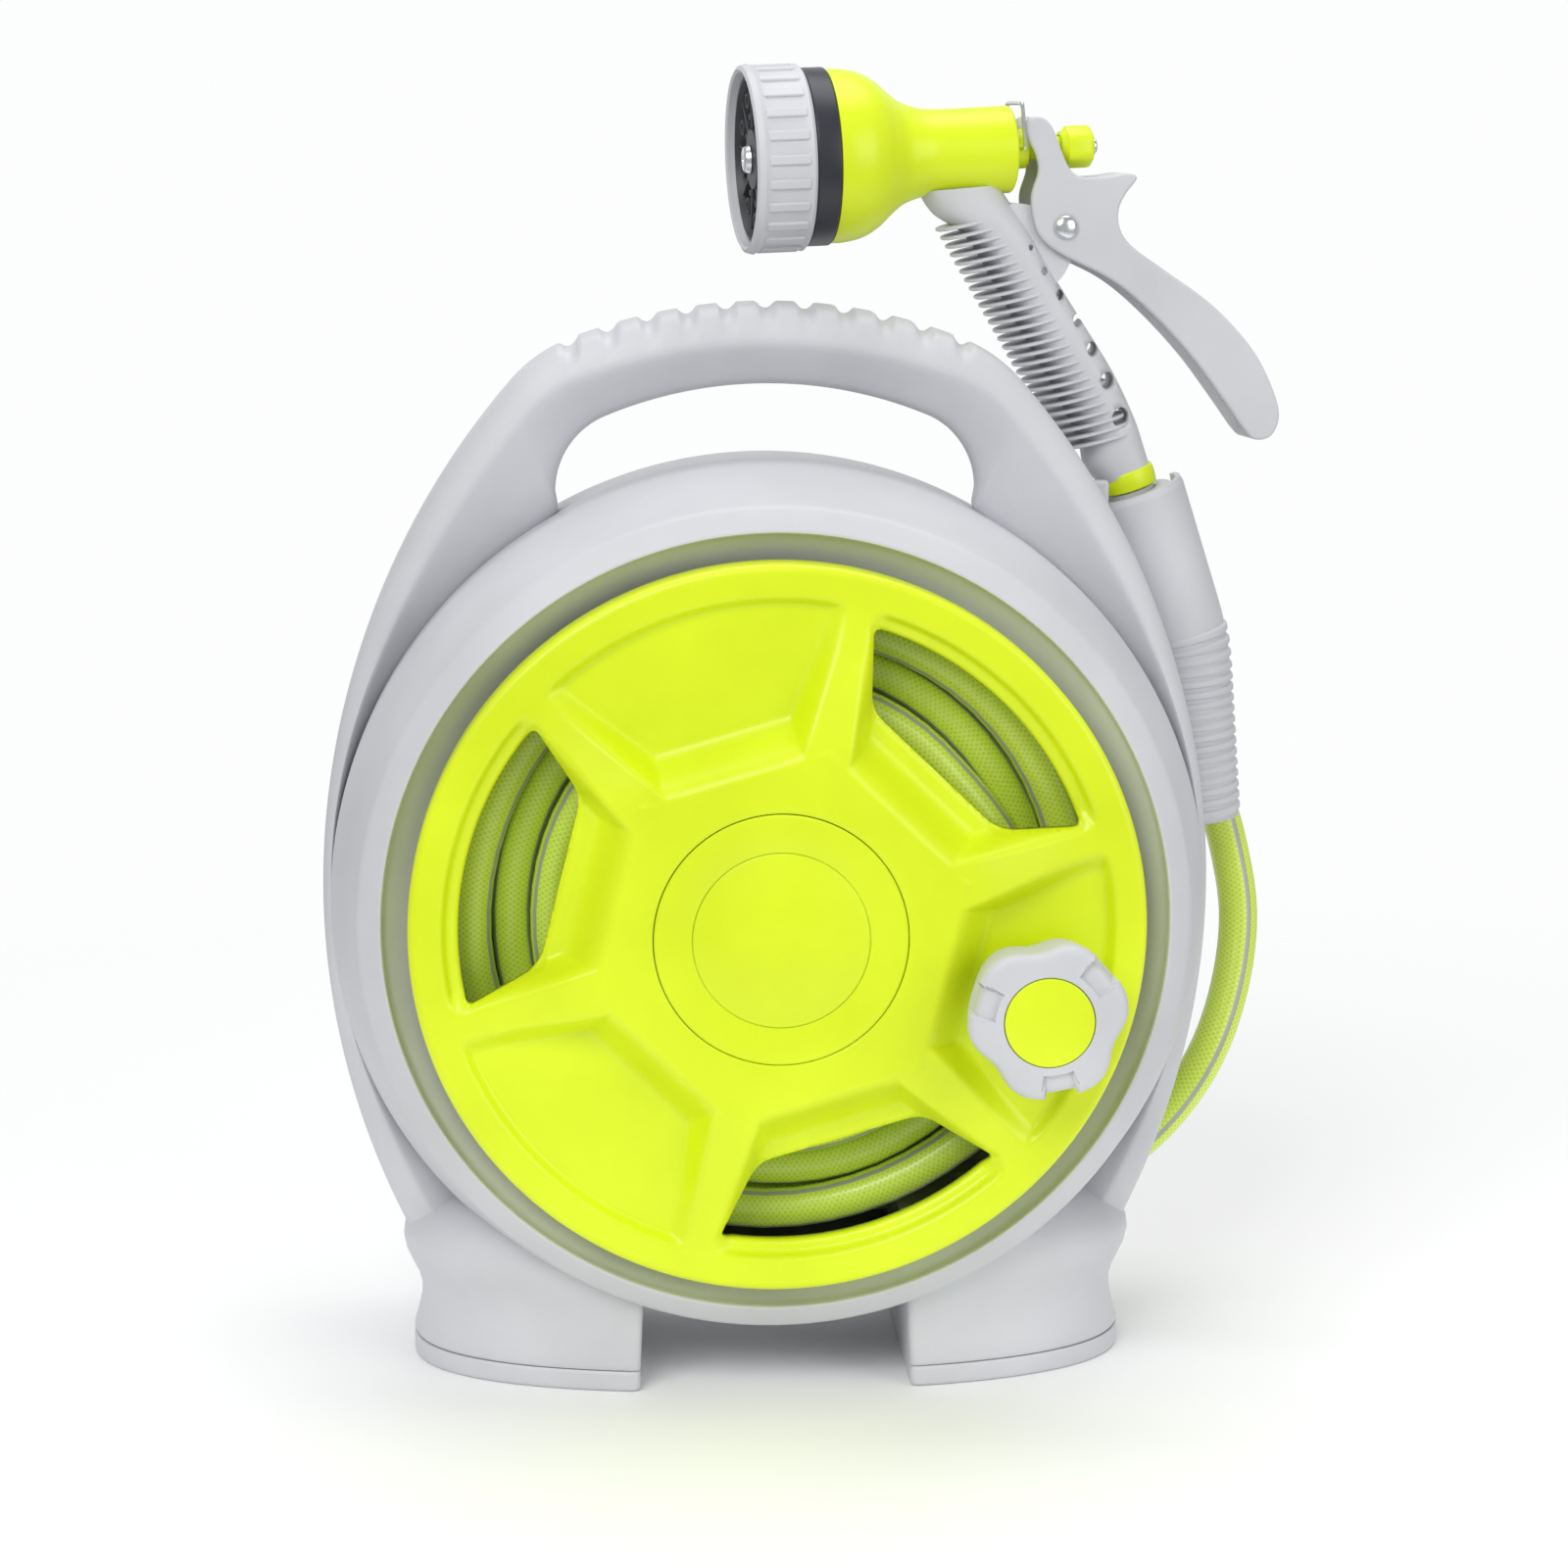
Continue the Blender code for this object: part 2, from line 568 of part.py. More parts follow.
def build_holster(parent, grey, steel):
    plane = empty("holster_plane", parent, (GUN_X, GUN_Y, GUN_Z), (0, 0, GUN_YAW))
    mouth, bend, end = holster_spine()
    outer = HOLSTER_BORE_R + HOLSTER_WALL
    middle = (PULL_TILT + LOWER_TILT) / 2
    holster = place("gun_holster", loft([open_section(mouth, PULL_TILT, HOLSTER_BORE_R, outer),
                                         open_section(bend, middle, HOLSTER_BORE_R, outer),
                                         open_section(end, LOWER_TILT, HOLSTER_BORE_R, outer)]),
                    grey, plane)
    top = Vector((math.sin(PULL_TILT), 0, -math.cos(PULL_TILT)))
    ledge = mouth + top * (HOLSTER_UPPER - 1 * MM)
    add(holster, loft([open_section(ledge, PULL_TILT, 9 * MM, HOLSTER_BORE_R + 1 * MM),
                       open_section(ledge + top * 2 * MM, PULL_TILT, 9 * MM, HOLSTER_BORE_R + 1 * MM)]),
        "holster_ledge")
    # tabs that lie on the back of the frame
    straighten = Matrix.Rotation(-GUN_YAW, 4, "Z")
    tabs = []
    for x, z in HOLSTER_SCREWS:
        reach = (GUN_X + (GUN_Z - z) * math.tan(PULL_TILT)) - x
        tab = box((-5.5 * MM, TAB_FRONT_Y, -5 * MM), (reach - 9 * MM, TAB_FRONT_Y + TAB_THICK + 2 * MM, 5 * MM))
        moved(tab, (x - GUN_X, -GUN_Y, z - GUN_Z))
        tabs.append(moved(tab, (0, 0, 0), straighten))
    for i, tab in enumerate(tabs, 1):
        add(holster, tab, f"holster_tab_{i}")
    bores = []
    for x, z in HOLSTER_SCREWS:
        hole = moved(rod(SCREW_SHANK_R + GAP, TAB_FRONT_Y - 5 * MM, TAB_FRONT_Y + 12 * MM, 12),
                     (x - GUN_X, -GUN_Y, z - GUN_Z))
        bores.append(moved(hole, (0, 0, 0), straighten))
    cut(holster, merged(bores), "holster_tab_holes")
    bore = moved(rod(HOLSTER_BORE_R, -HOLSTER_UPPER + 1 * MM, 10 * MM, 24, "Z"), (0, 0, 0),
                 Matrix.Rotation(-PULL_TILT, 4, "Y"))
    cut(holster, moved(bore, mouth), "holster_bore")
    # trimmed where it lies against the round housing
    room = SHELL_R + GAP
    lean = (CREASE_R - SHELL_R) / (CREASE_Y - SHELL_STRAIGHT)
    body = turned([(0, -60 * MM), (room, -60 * MM), (room, SHELL_STRAIGHT),
                   (room + lean * 30 * MM, SHELL_STRAIGHT + 30 * MM), (0, SHELL_STRAIGHT + 30 * MM)], 72, "Y")
    moved(body, (-GUN_X, -GUN_Y, DRUM_Z - GUN_Z))
    cut(holster, moved(body, (0, 0, 0), straighten), "holster_trim")
    frame = prism(mirrored_outline(frame_half(-GAP, 30 * MM)), -60 * MM, FRAME_HALF_DEPTH + GAP)
    moved(frame, (-GUN_X, -GUN_Y, -GUN_Z))
    cut(holster, moved(frame, (0, 0, 0), straighten), "holster_frame_trim")
    for i, (x, z) in enumerate(HOLSTER_SCREWS, 1):
        screw(f"holster_screw_{i}", TAB_FRONT_Y + TAB_THICK + 2 * MM, 5 * MM, steel, parent, (x, 0, z))


# ---------------------------------------------------------------- drum
def window_outline(index):
    centre = WINDOW_ANGLE + index * 2 * math.pi / WINDOW_COUNT
    points = arc((0, 0), WINDOW_OUTER_R, centre - WINDOW_HALF_ANGLE, centre + WINDOW_HALF_ANGLE, 8)
    for aside in (WINDOW_HALF_CHORD, -WINDOW_HALF_CHORD):
        points.append((WINDOW_CHORD * math.cos(centre) - aside * math.sin(centre),
                       WINDOW_CHORD * math.sin(centre) + aside * math.cos(centre)))
    return points


DRUM_SCREW_R = 28 * MM
DRUM_SCREWS = [(DRUM_SCREW_R * math.cos(a), DRUM_SCREW_R * math.sin(a))
               for a in (math.pi / 2, math.pi * 7 / 6, math.pi * 11 / 6)]
COIL_END_Y = COIL_FRONT_Y + COIL_TURNS_WIDE * TURN_PITCH
REAR_FLANGE_Y = COIL_END_Y + GAP
COIL_INNER_R = BARREL_R + GAP
COIL_OUTER_R = BARREL_R + HOSE_D + (COIL_LAYERS - 1) * LAYER_PITCH + GAP


def build_drum(parent):
    lime = material(*LIME)
    grey = material(*GREY)
    steel = material(*CHROME)
    axis = empty("drum_axis", parent, (0, 0, DRUM_Z))
    plate = [(0, PLATE_BACK_Y), (BARREL_R, PLATE_BACK_Y), (WINDOW_OUTER_R, PLATE_BACK_Y - 2 * MM),
             (RIM_R, PLATE_BACK_Y - 2 * MM), (RIM_R, RIM_FRONT_Y + 2 * MM), (RIM_R - 2 * MM, RIM_FRONT_Y),
             (RIM_INNER_R, RIM_FRONT_Y), (WINDOW_OUTER_R, PANEL_Y), (HUB_R + 10 * MM, PANEL_Y),
             (HUB_R, HUB_FRONT_Y), (0, HUB_FRONT_Y)]
    front = place("drum_front_plate", turned(plate, 60, "Y"), lime, axis)
    for i in range(2 * WINDOW_COUNT):
        angle = WINDOW_ANGLE + math.radians(30) + i * math.pi / WINDOW_COUNT
        half = ARM_WIDTH / 2
        outline = [(HUB_R - 8 * MM, -half * 1.5), (RIM_INNER_R - 2 * MM, -half * 0.7),
                   (RIM_INNER_R - 2 * MM, half * 0.7), (HUB_R - 8 * MM, half * 1.5)]
        turned_outline = [(a * math.cos(angle) - b * math.sin(angle), a * math.sin(angle) + b * math.cos(angle))
                          for a, b in outline]
        add(front, prism(turned_outline, ARM_FRONT_Y, PANEL_Y + 3 * MM), f"arm_{i}")
    cut(front, merged([prism(window_outline(i), -90 * MM, -40 * MM) for i in range(WINDOW_COUNT)]), "windows")
    knob_at = (KNOB_ARM * math.cos(KNOB_ANGLE), 0, KNOB_ARM * math.sin(KNOB_ANGLE))
    add(front, moved(rod(KNOB_BOSS_R, -73.4 * MM, PANEL_Y + 3 * MM, 24), knob_at), "knob_boss")
    cut(front, moved(rod(SPINDLE_R + GAP, -80 * MM, -59 * MM, 16), knob_at), "spindle_socket")
    pockets = [moved(turned([(0, -80 * MM), (SCREW_HEAD_R + GAP, -80 * MM),
                             (SCREW_HEAD_R + GAP, HUB_FRONT_Y + 4 * MM),
                             (SCREW_SHANK_R + GAP, HUB_FRONT_Y + 4 * MM),
                             (SCREW_SHANK_R + GAP, -40 * MM), (0, -40 * MM)], 12, "Y"), (x, 0, z))
               for x, z in DRUM_SCREWS]
    cut(front, merged(pockets), "drum_screw_pockets")
    place("hub_cap", turned([(0, HUB_FRONT_Y - GAP), (HUB_CAP_R, HUB_FRONT_Y - GAP),
                             (HUB_CAP_R, HUB_CAP_Y + 1 * MM), (HUB_CAP_R - 1 * MM, HUB_CAP_Y),
                             (0, HUB_CAP_Y)], 48, "Y"), lime, axis)
    hub_inner = INLET_SHAFT_R + GAP + BUSH_WALL + GAP
    barrel = [(0, PLATE_BACK_Y + GAP), (BARREL_R, PLATE_BACK_Y + GAP), (BARREL_R, COIL_END_Y),
              (BARREL_R - BARREL_WALL, COIL_END_Y), (BARREL_R - BARREL_WALL, PLATE_BACK_Y + GAP + 9 * MM),
              (0, PLATE_BACK_Y + GAP + 9 * MM)]
    drum_barrel = place("drum_barrel", turned(barrel, 48, "Y"), grey, axis)
    cut(drum_barrel, merged([moved(rod(SCREW_SHANK_R + GAP, -70 * MM, PLATE_BACK_Y + 7 * MM, 12), (x, 0, z))
                             for x, z in DRUM_SCREWS]), "drum_screw_holes")
    flange = [(REAR_FLANGE_R, REAR_FLANGE_Y), (REAR_FLANGE_R, REAR_FLANGE_Y + REAR_FLANGE_THICK),
              (hub_inner + 3 * MM, REAR_FLANGE_Y + REAR_FLANGE_THICK), (hub_inner + 3 * MM, 33.4 * MM),
              (hub_inner, 33.4 * MM), (hub_inner, 4 * MM), (hub_inner + 3 * MM, 4 * MM),
              (hub_inner + 3 * MM, REAR_FLANGE_Y)]
    rear = place("drum_rear_flange", turned(flange, 48, "Y", ring=True), lime, axis)
    add(rear, tube(BARREL_R - BARREL_WALL - GAP, BARREL_R - BARREL_WALL - 3 * MM,
                   COIL_END_Y - 8 * MM, REAR_FLANGE_Y + 1 * MM, 36), "flange_collar")
    place("drum_bush", tube(INLET_SHAFT_R + GAP + BUSH_WALL, INLET_SHAFT_R + GAP, 8 * MM, 33 * MM, 32), grey, axis)
    elbow = rod(4.5 * MM, hub_inner + 3 * MM + GAP, BARREL_R - BARREL_WALL - GAP, 12, "X")
    place("drum_outlet", moved(elbow, (0, 10 * MM, 0)), grey, axis)
    for i, (x, z) in enumerate(DRUM_SCREWS, 1):
        head = HUB_FRONT_Y + 4 * MM - GAP
        profile = [(0, head - SCREW_HEAD), (SCREW_HEAD_R * 0.7, head - SCREW_HEAD),
                   (SCREW_HEAD_R, head - SCREW_HEAD * 0.7), (SCREW_HEAD_R, head), (SCREW_SHANK_R, head),
                   (SCREW_SHANK_R, PLATE_BACK_Y + 6 * MM), (0, PLATE_BACK_Y + 6 * MM)]
        place(f"drum_screw_{i}", turned(profile, 12, "Y"), steel, axis, (x, 0, z))
    place("hose_coil", tube(COIL_OUTER_R, COIL_INNER_R, COIL_FRONT_Y, COIL_END_Y - GAP, 48),
          material(*HOSE), axis)
    build_knob(axis, knob_at, grey, lime, steel)


def knob_outline(radius, steps=36):
    """Six corners: three scallops and three flats between them, seen from the front."""
    points = []
    for i in range(steps):
        angle = 2 * math.pi * i / steps
        lobes = math.cos(6 * (angle - math.radians(10)))
        scallop = max(0.0, math.cos(3 * (angle - math.radians(100)))) ** 2
        reach = radius * (0.965 + 0.035 * lobes - 0.075 * scallop)
        points.append((reach * math.cos(angle), reach * math.sin(angle)))
    return points


def build_knob(axis, knob_at, grey, lime, steel):
    back_y = KNOB_FRONT_Y + KNOB_LENGTH
    pin = empty("knob_axis", axis, knob_at)
    rings = []
    for share, y in ((0.84, back_y), (0.93, back_y - 3 * MM), (1.0, KNOB_FRONT_Y + 7 * MM),
                     (0.97, KNOB_FRONT_Y + 2.5 * MM), (0.86, KNOB_FRONT_Y)):
        rings.append([(share * x, y, share * z) for x, z in knob_outline(KNOB_R)])
    knob = place("crank_knob", loft(rings), grey, pin)
    head_y = KNOB_FRONT_Y + 9 * MM
    bore = [(0, back_y + 5 * MM), (SPINDLE_R + GAP, back_y + 5 * MM), (SPINDLE_R + GAP, head_y),
            (KNOB_CAP_R - 1.5 * MM, head_y), (KNOB_CAP_R - 1.5 * MM, KNOB_FRONT_Y + 3 * MM),
            (KNOB_CAP_R + GAP, KNOB_FRONT_Y + 3 * MM), (KNOB_CAP_R + GAP, KNOB_FRONT_Y - 5 * MM),
            (0, KNOB_FRONT_Y - 5 * MM)]
    cut(knob, turned(bore, 32, "Y"), "knob_bore")
    place("knob_cap", turned([(0, KNOB_FRONT_Y + 3 * MM - GAP), (KNOB_CAP_R, KNOB_FRONT_Y + 3 * MM - GAP),
                              (KNOB_CAP_R, KNOB_FRONT_Y), (KNOB_CAP_R - 0.8 * MM, KNOB_FRONT_Y - 0.6 * MM),
                              (0, KNOB_FRONT_Y - 0.6 * MM)], 32, "Y"), lime, pin)
    spindle = [(0, -60 * MM), (SPINDLE_R, -60 * MM), (SPINDLE_R, head_y - GAP),
               (SPINDLE_R + 3 * MM, head_y - GAP), (SPINDLE_R + 3 * MM, head_y - 3 * MM),
               (0, head_y - 3 * MM)]
    place("knob_spindle", turned(spindle, 20, "Y"), steel, axis, knob_at)


# ---------------------------------------------------------------- hose end in the holster
CONNECTOR_TOP = -(HOLSTER_TOP + 1 * MM)
NUT_END = -(HOLSTER_TOP + HOLSTER_UPPER - 1 * MM) + GAP


def build_connector(parent):
    lime = material(*LIME)
    grey = material(*GREY)
    frame = pull_frame(parent)
    top = CONNECTOR_TOP
    body = [(NIPPLE_R + GAP, top), (CONNECTOR_R + 1.5 * MM, top), (CONNECTOR_R + 1.5 * MM, top - 2.5 * MM),
            (CONNECTOR_R, top - 2.5 * MM), (CONNECTOR_R, -32 * MM), (HOSE_TAIL_R, -32 * MM),
            (HOSE_TAIL_R, -38 * MM), (3 * MM, -38 * MM), (3 * MM, -24 * MM), (NIPPLE_R + GAP, -24 * MM)]
    place("hose_connector", turned(body, 20, "Z", ring=True), grey, frame)
    place("connector_sleeve", tube(SLEEVE_R, CONNECTOR_R + GAP, -25 * MM, top - 3 * MM, 32, "Z"), lime, frame)
    place("connector_hose_nut", turned([(CONNECTOR_R + GAP, -29 * MM), (SLEEVE_R, -29 * MM),
                                        (SLEEVE_R, NUT_END + 3 * MM), (SLEEVE_R - 3 * MM, NUT_END),
                                        (HOSE_D / 2 + 2 * GAP, NUT_END), (HOSE_D / 2 + 2 * GAP, -40 * MM),
                                        (CONNECTOR_R + GAP, -33 * MM)], 20, "Z", ring=True), grey, frame)
    build_lead(parent)


def smooth_route(points, pitch):
    """Evenly spaced points read from a Catmull-Rom curve through the chosen points."""
    knots = [Vector(p) for p in points]
    knots = [2 * knots[0] - knots[1]] + knots + [2 * knots[-1] - knots[-2]]
    fine = []
    for a, b, c, d in zip(knots, knots[1:], knots[2:], knots[3:]):
        for i in range(40):
            t = i / 40
            fine.append(0.5 * ((2 * b) + (c - a) * t + (2 * a - 5 * b + 4 * c - d) * t * t
                               + (3 * b - a - 3 * c + d) * t * t * t))
    fine.append(knots[-2])
    route = [fine[0]]
    run = 0.0
    total = sum((q - p).length for p, q in zip(fine, fine[1:]))
    count = max(2, round(total / pitch))
    for p, q in zip(fine, fine[1:]):
        run += (q - p).length
        if run >= total / count * len(route) - 1e-9 and len(route) < count:
            route.append(q)
    route.append(fine[-1])
    return route


# hose from the connector, out of the holster, round the right side and onto the winding
LEAD_ROUTE = [(x * MM, y * MM, z * MM) for x, y, z in (
    (124.9, 31.6, 223.5), (126.9, 31.9, 217.3), (128.7, 32.3, 211.7), (131.8, 34.8, 200.0),
    (136.2, 39.4, 184.5), (141.8, 43.4, 167.0), (148.2, 43.0, 146.0), (151.2, 38.0, 124.0), (147.8, 31.2, 102.0),
    (139.6, 24.0, 82.0), (127.6, 21.5, 64.5), (112.5, 20.6, 52.3), (94.0, 20.3, 45.6),
    (70.0, 20.2, 43.4), (40.0, 20.0, 43.3), (2.0, 20.0, 43.3))]


def build_lead(parent):
    curve = bpy.data.curves.new("hose_lead", "CURVE")
    curve.dimensions = "3D"
    curve.bevel_depth = HOSE_D / 2
    curve.bevel_resolution = 3
    curve.use_fill_caps = True
    route = smooth_route(LEAD_ROUTE, 2 * HOSE_D / 2)
    line = curve.splines.new("POLY")
    line.points.add(len(route) - 1)
    for spot, point in zip(line.points, route):
        spot.co = (*point, 1)
    curve.materials.append(material(*HOSE))
    item = bpy.data.objects.new("hose_lead", curve)
    bpy.context.collection.objects.link(item)
    item.parent = parent


# ---------------------------------------------------------------- spray gun
REAR_U = -38 * MM
AXIS_W = 99.8 * MM
PIVOT_AT = (-22.4 * MM, 76.8 * MM)
HANDLE_SECTIONS = [(lu * MM, lw * MM, ru * MM, rw * MM, half * MM) for lu, lw, ru, rw, half in (
    (-66.0, 87.5, -42.0, 89.5, 9.5), (-61.0, 76.0, -33.5, 76.5, 10.5), (-56.0, 59.0, -24.5, 62.3, 10.8),
    (-49.0, 46.0, -15.5, 48.5, 10.5), (-36.0, 27.0, -5.5, 33.0, 10.0), (-22.5, 10.5, 1.5, 19.0, 9.3),
    (-9.0, -1.0, 6.6, 4.2, 8.0))]
HANDLE_HOLES = [(u * MM, w * MM, r * MM) for u, w, r in (
    (-33.0, 70.7, 0.9), (-28.6, 63.6, 1.2), (-23.4, 56.5, 1.7), (-17.8, 48.7, 2.0),
    (-13.2, 40.1, 2.3), (-8.4, 30.5, 2.7), (-4.2, 19.4, 3.1))]


def build_gun(parent):
    lime = material(*LIME)
    grey = material(*GREY)
    black = material(*BLACK)
    steel = material(*CHROME)
    gun = empty("gun_body_plane", parent, (GUN_X, GUN_Y, GUN_Z), (0, 0, GUN_YAW))
    # local X runs from the nozzle's face back to the trigger, along the barrel's axis
    barrel = empty("barrel_axis", gun, (REAR_U, 0, AXIS_W), (0, -BARREL_TILT, 0))
    body = [(0, -BODY_LENGTH), (GUN_BELL_R, -BODY_LENGTH), (25.2 * MM, -53 * MM), (23.4 * MM, -45 * MM),
            (19.7 * MM, -39.4 * MM), (15.8 * MM, -35 * MM), (13.8 * MM, -31 * MM), (12.7 * MM, -27 * MM),
            (GUN_NECK_R, -0.8 * MM), (GUN_NECK_R - 0.8 * MM, 0), (5.8 * MM, 0), (5.8 * MM, 5.0 * MM),
            (0, 5.0 * MM)]
    gun_barrel = place("gun_barrel", turned(body, 30, "X"), lime, barrel)
    bored = [(0, -30 * MM), (STEM_R + GAP, -30 * MM), (STEM_R + GAP, 12 * MM), (0, 12 * MM)]
    cut(gun_barrel, turned(bored, 20, "X"), "stem_bore")
    start = -BODY_LENGTH - GAP
    place("index_band", turned([(0, start - BAND_LENGTH), (26.3 * MM, start - BAND_LENGTH),
                                (26.3 * MM, start), (0, start)], 40, "X"), black, barrel)
    face = start - BAND_LENGTH - GAP
    place("dial_bezel", turned([(DIAL_R, face), (DIAL_R - 0.8 * MM, face - DIAL_LENGTH),
                                (DIAL_R - 4 * MM, face - DIAL_LENGTH), (DIAL_R - 5 * MM, face - 4 * MM),
                                (DIAL_R - 5 * MM, face)], 40, "X", ring=True), grey, barrel)
    plate_r = DIAL_R - 5 * MM - GAP
    place("pattern_plate", turned([(3.2 * MM, face - 1 * MM), (plate_r, face - 1 * MM),
                                   (plate_r, face - 9 * MM), (9 * MM, face - 9 * MM),
                                   (9 * MM, face - 11 * MM), (3.2 * MM, face - 11 * MM)], 36, "X", ring=True),
          black, barrel)
    place("dial_screw", turned([(0, face - GAP), (2.6 * MM, face - GAP), (2.6 * MM, face - 11 * MM - GAP),
                                (4.6 * MM, face - 11 * MM - GAP), (3.6 * MM, face - 13.2 * MM),
                                (0, face - 13.8 * MM)], 16, "X"), steel, barrel)
    build_handle(gun, barrel, grey, lime)
    build_trigger(gun, grey, steel)
    place("valve_stem", rod(STEM_R, -25 * MM, 24.6 * MM, 16, "X"), lime, barrel)
    nut = [(STEM_R + GAP, 15.2 * MM), (4.6 * MM, 15.2 * MM), (6.2 * MM, 17 * MM), (6.2 * MM, 24.3 * MM),
           (5.4 * MM, 25.2 * MM), (STEM_R + GAP, 25.2 * MM)]
    place("flow_nut", turned(nut, 8, "X", ring=True), lime, barrel)
    place("stem_screw", turned([(0, 24.9 * MM), (2.6 * MM, 24.9 * MM), (2.6 * MM, 26.2 * MM),
                                (1.8 * MM, 26.9 * MM), (0, 26.9 * MM)], 12, "X"), steel, barrel)
    build_clip(gun, steel)


def build_handle(gun, barrel, grey, lime):
    rings = []
    for lu, lw, ru, rw, half in HANDLE_SECTIONS:
        centre = Vector(((lu + ru) / 2, 0, (lw + rw) / 2))
        across = Vector(((ru - lu) / 2, 0, (rw - lw) / 2))
        ring = []
        for i in range(24):
            angle = 2 * math.pi * i / 24
            c = math.copysign(abs(math.cos(angle)) ** 0.8, math.cos(angle))
            s = math.copysign(abs(math.sin(angle)) ** 0.8, math.sin(angle))
            ring.append(centre + across * c + Vector((0, half * s, 0)))
        rings.append(ring)
    handle = place("gun_handle", loft(rings), grey, gun)
    # comb of thin fins down the front of the grip
    slots = []
    for i in range(FIN_COUNT):
        share = (i + 1) / (FIN_COUNT + 2)
        low = 8 * MM + (78 - 8) * MM * share
        left = -20.5 * MM - (61 - 20.5) * MM * share
        slab = box((-13 * MM, -20 * MM, -FIN_SLOT / 2), (10.5 * MM, 20 * MM, FIN_SLOT / 2))
        slots.append(moved(slab, (left, 0, low), Matrix.Rotation(math.radians(-3), 4, "Y")))
    cut(handle, merged(slots), "comb")
    cut(handle, merged([moved(rod(r, -20 * MM, 20 * MM, 10), (u, 0, w)) for u, w, r in HANDLE_HOLES]), "holes")
    # ear that carries the trigger's pivot
    ear = [(-40 * MM, 83 * MM), (-28 * MM, 82.5 * MM), (-20 * MM, 81 * MM), (-17 * MM, 76.8 * MM),
           (-19 * MM, 69 * MM), (-24 * MM, 60.5 * MM), (-32 * MM, 60 * MM), (-40 * MM, 70 * MM)]
    add(handle, prism(ear, -FORK_HALF_WIDTH + 0.6 * MM, FORK_HALF_WIDTH - 0.6 * MM), "ear")
    cut(handle, moved(rod(PIVOT_R + GAP, -20 * MM, 20 * MM, 16), (PIVOT_AT[0], 0, PIVOT_AT[1])), "ear_hole")
    # seat under the barrel
    seat = moved(rod(GUN_NECK_R + GAP, -70 * MM, 20 * MM, 40, "X"), (REAR_U, 0, AXIS_W),
                 Matrix.Rotation(-BARREL_TILT, 4, "Y"))
    bell = moved(turned([(0, -60 * MM), (26 * MM, -60 * MM), (25.5 * MM, -52.7 * MM), (23.7 * MM, -44.8 * MM),
                         (20 * MM, -39.1 * MM), (16.1 * MM, -34.7 * MM), (14.1 * MM, -30.8 * MM),
                         (13.0 * MM, -26 * MM), (0, -26 * MM)], 40, "X"), (REAR_U, 0, AXIS_W),
                 Matrix.Rotation(-BARREL_TILT, 4, "Y"))
    cut(handle, seat, "barrel_seat")
    cut(handle, bell, "bell_seat")
    frame = pull_frame(gun.parent)
    trim = moved(rod(30 * MM, -60 * MM, 3 * MM + GAP, 24, "Z"), (0, 0, 0), Matrix.Rotation(-PULL_TILT, 4, "Y"))
    cut(handle, trim, "collar_seat")
    place("gun_inlet_nut", tube(8.6 * MM, 4.5 * MM, -3 * MM, 3 * MM, 32, "Z"), lime, frame)
    place("gun_nipple", turned([(3 * MM, -3 * MM - GAP), (NIPPLE_R, -3 * MM - GAP), (NIPPLE_R, -20 * MM),
                                (NIPPLE_R - 1 * MM, -22 * MM), (3 * MM, -22 * MM)], 24, "Z", ring=True),
          grey, frame)


TRIGGER_OUTER = [(u * MM, w * MM) for u, w in (
    (-31.0, 93.2), (-31.8, 98.0), (-34.2, 102.5), (-35.6, 106.5), (-33.4, 109.2), (-29.8, 109.2), (-27.0, 106.6),
    (-24.9, 102.0), (-21.6, 94.3), (-17.7, 91.4), (-9.7, 91.9), (-3.3, 92.5), (-0.2, 90.7), (-3.8, 86.6),
    (-5.9, 82.5), (-5.5, 76.4), (-1.7, 71.0), (8.6, 64.2), (24.0, 53.4), (36.7, 39.8), (43.6, 27.4),
    (45.4, 19.0), (43.5, 13.4), (38.6, 12.1))]
TRIGGER_INNER = [(u * MM, w * MM) for u, w in (
    (35.4, 14.0), (28.3, 24.0), (17.7, 37.6), (4.8, 50.9), (-7.7, 60.8), (-22.9, 68.3),
    (-29.4, 73.0), (-32.0, 78.0), (-33.4, 86.0))]
CHANNEL_INNER = [(u * MM, w * MM) for u, w in (
    (40.0, 18.0), (37.0, 26.0), (31.0, 36.5), (21.0, 47.5), (5.5, 59.5), (-5.5, 66.5), (-11.5, 71.5),
    (-13.5, 84.0), (-20.5, 86.0), (-28.0, 100.0), (-29.0, 115.0), (-50.0, 115.0), (-50.0, 60.0),
    (-22.9, 60.0), (-7.7, 52.0), (4.8, 42.0), (17.7, 30.0), (28.3, 14.0), (33.0, 8.0))]


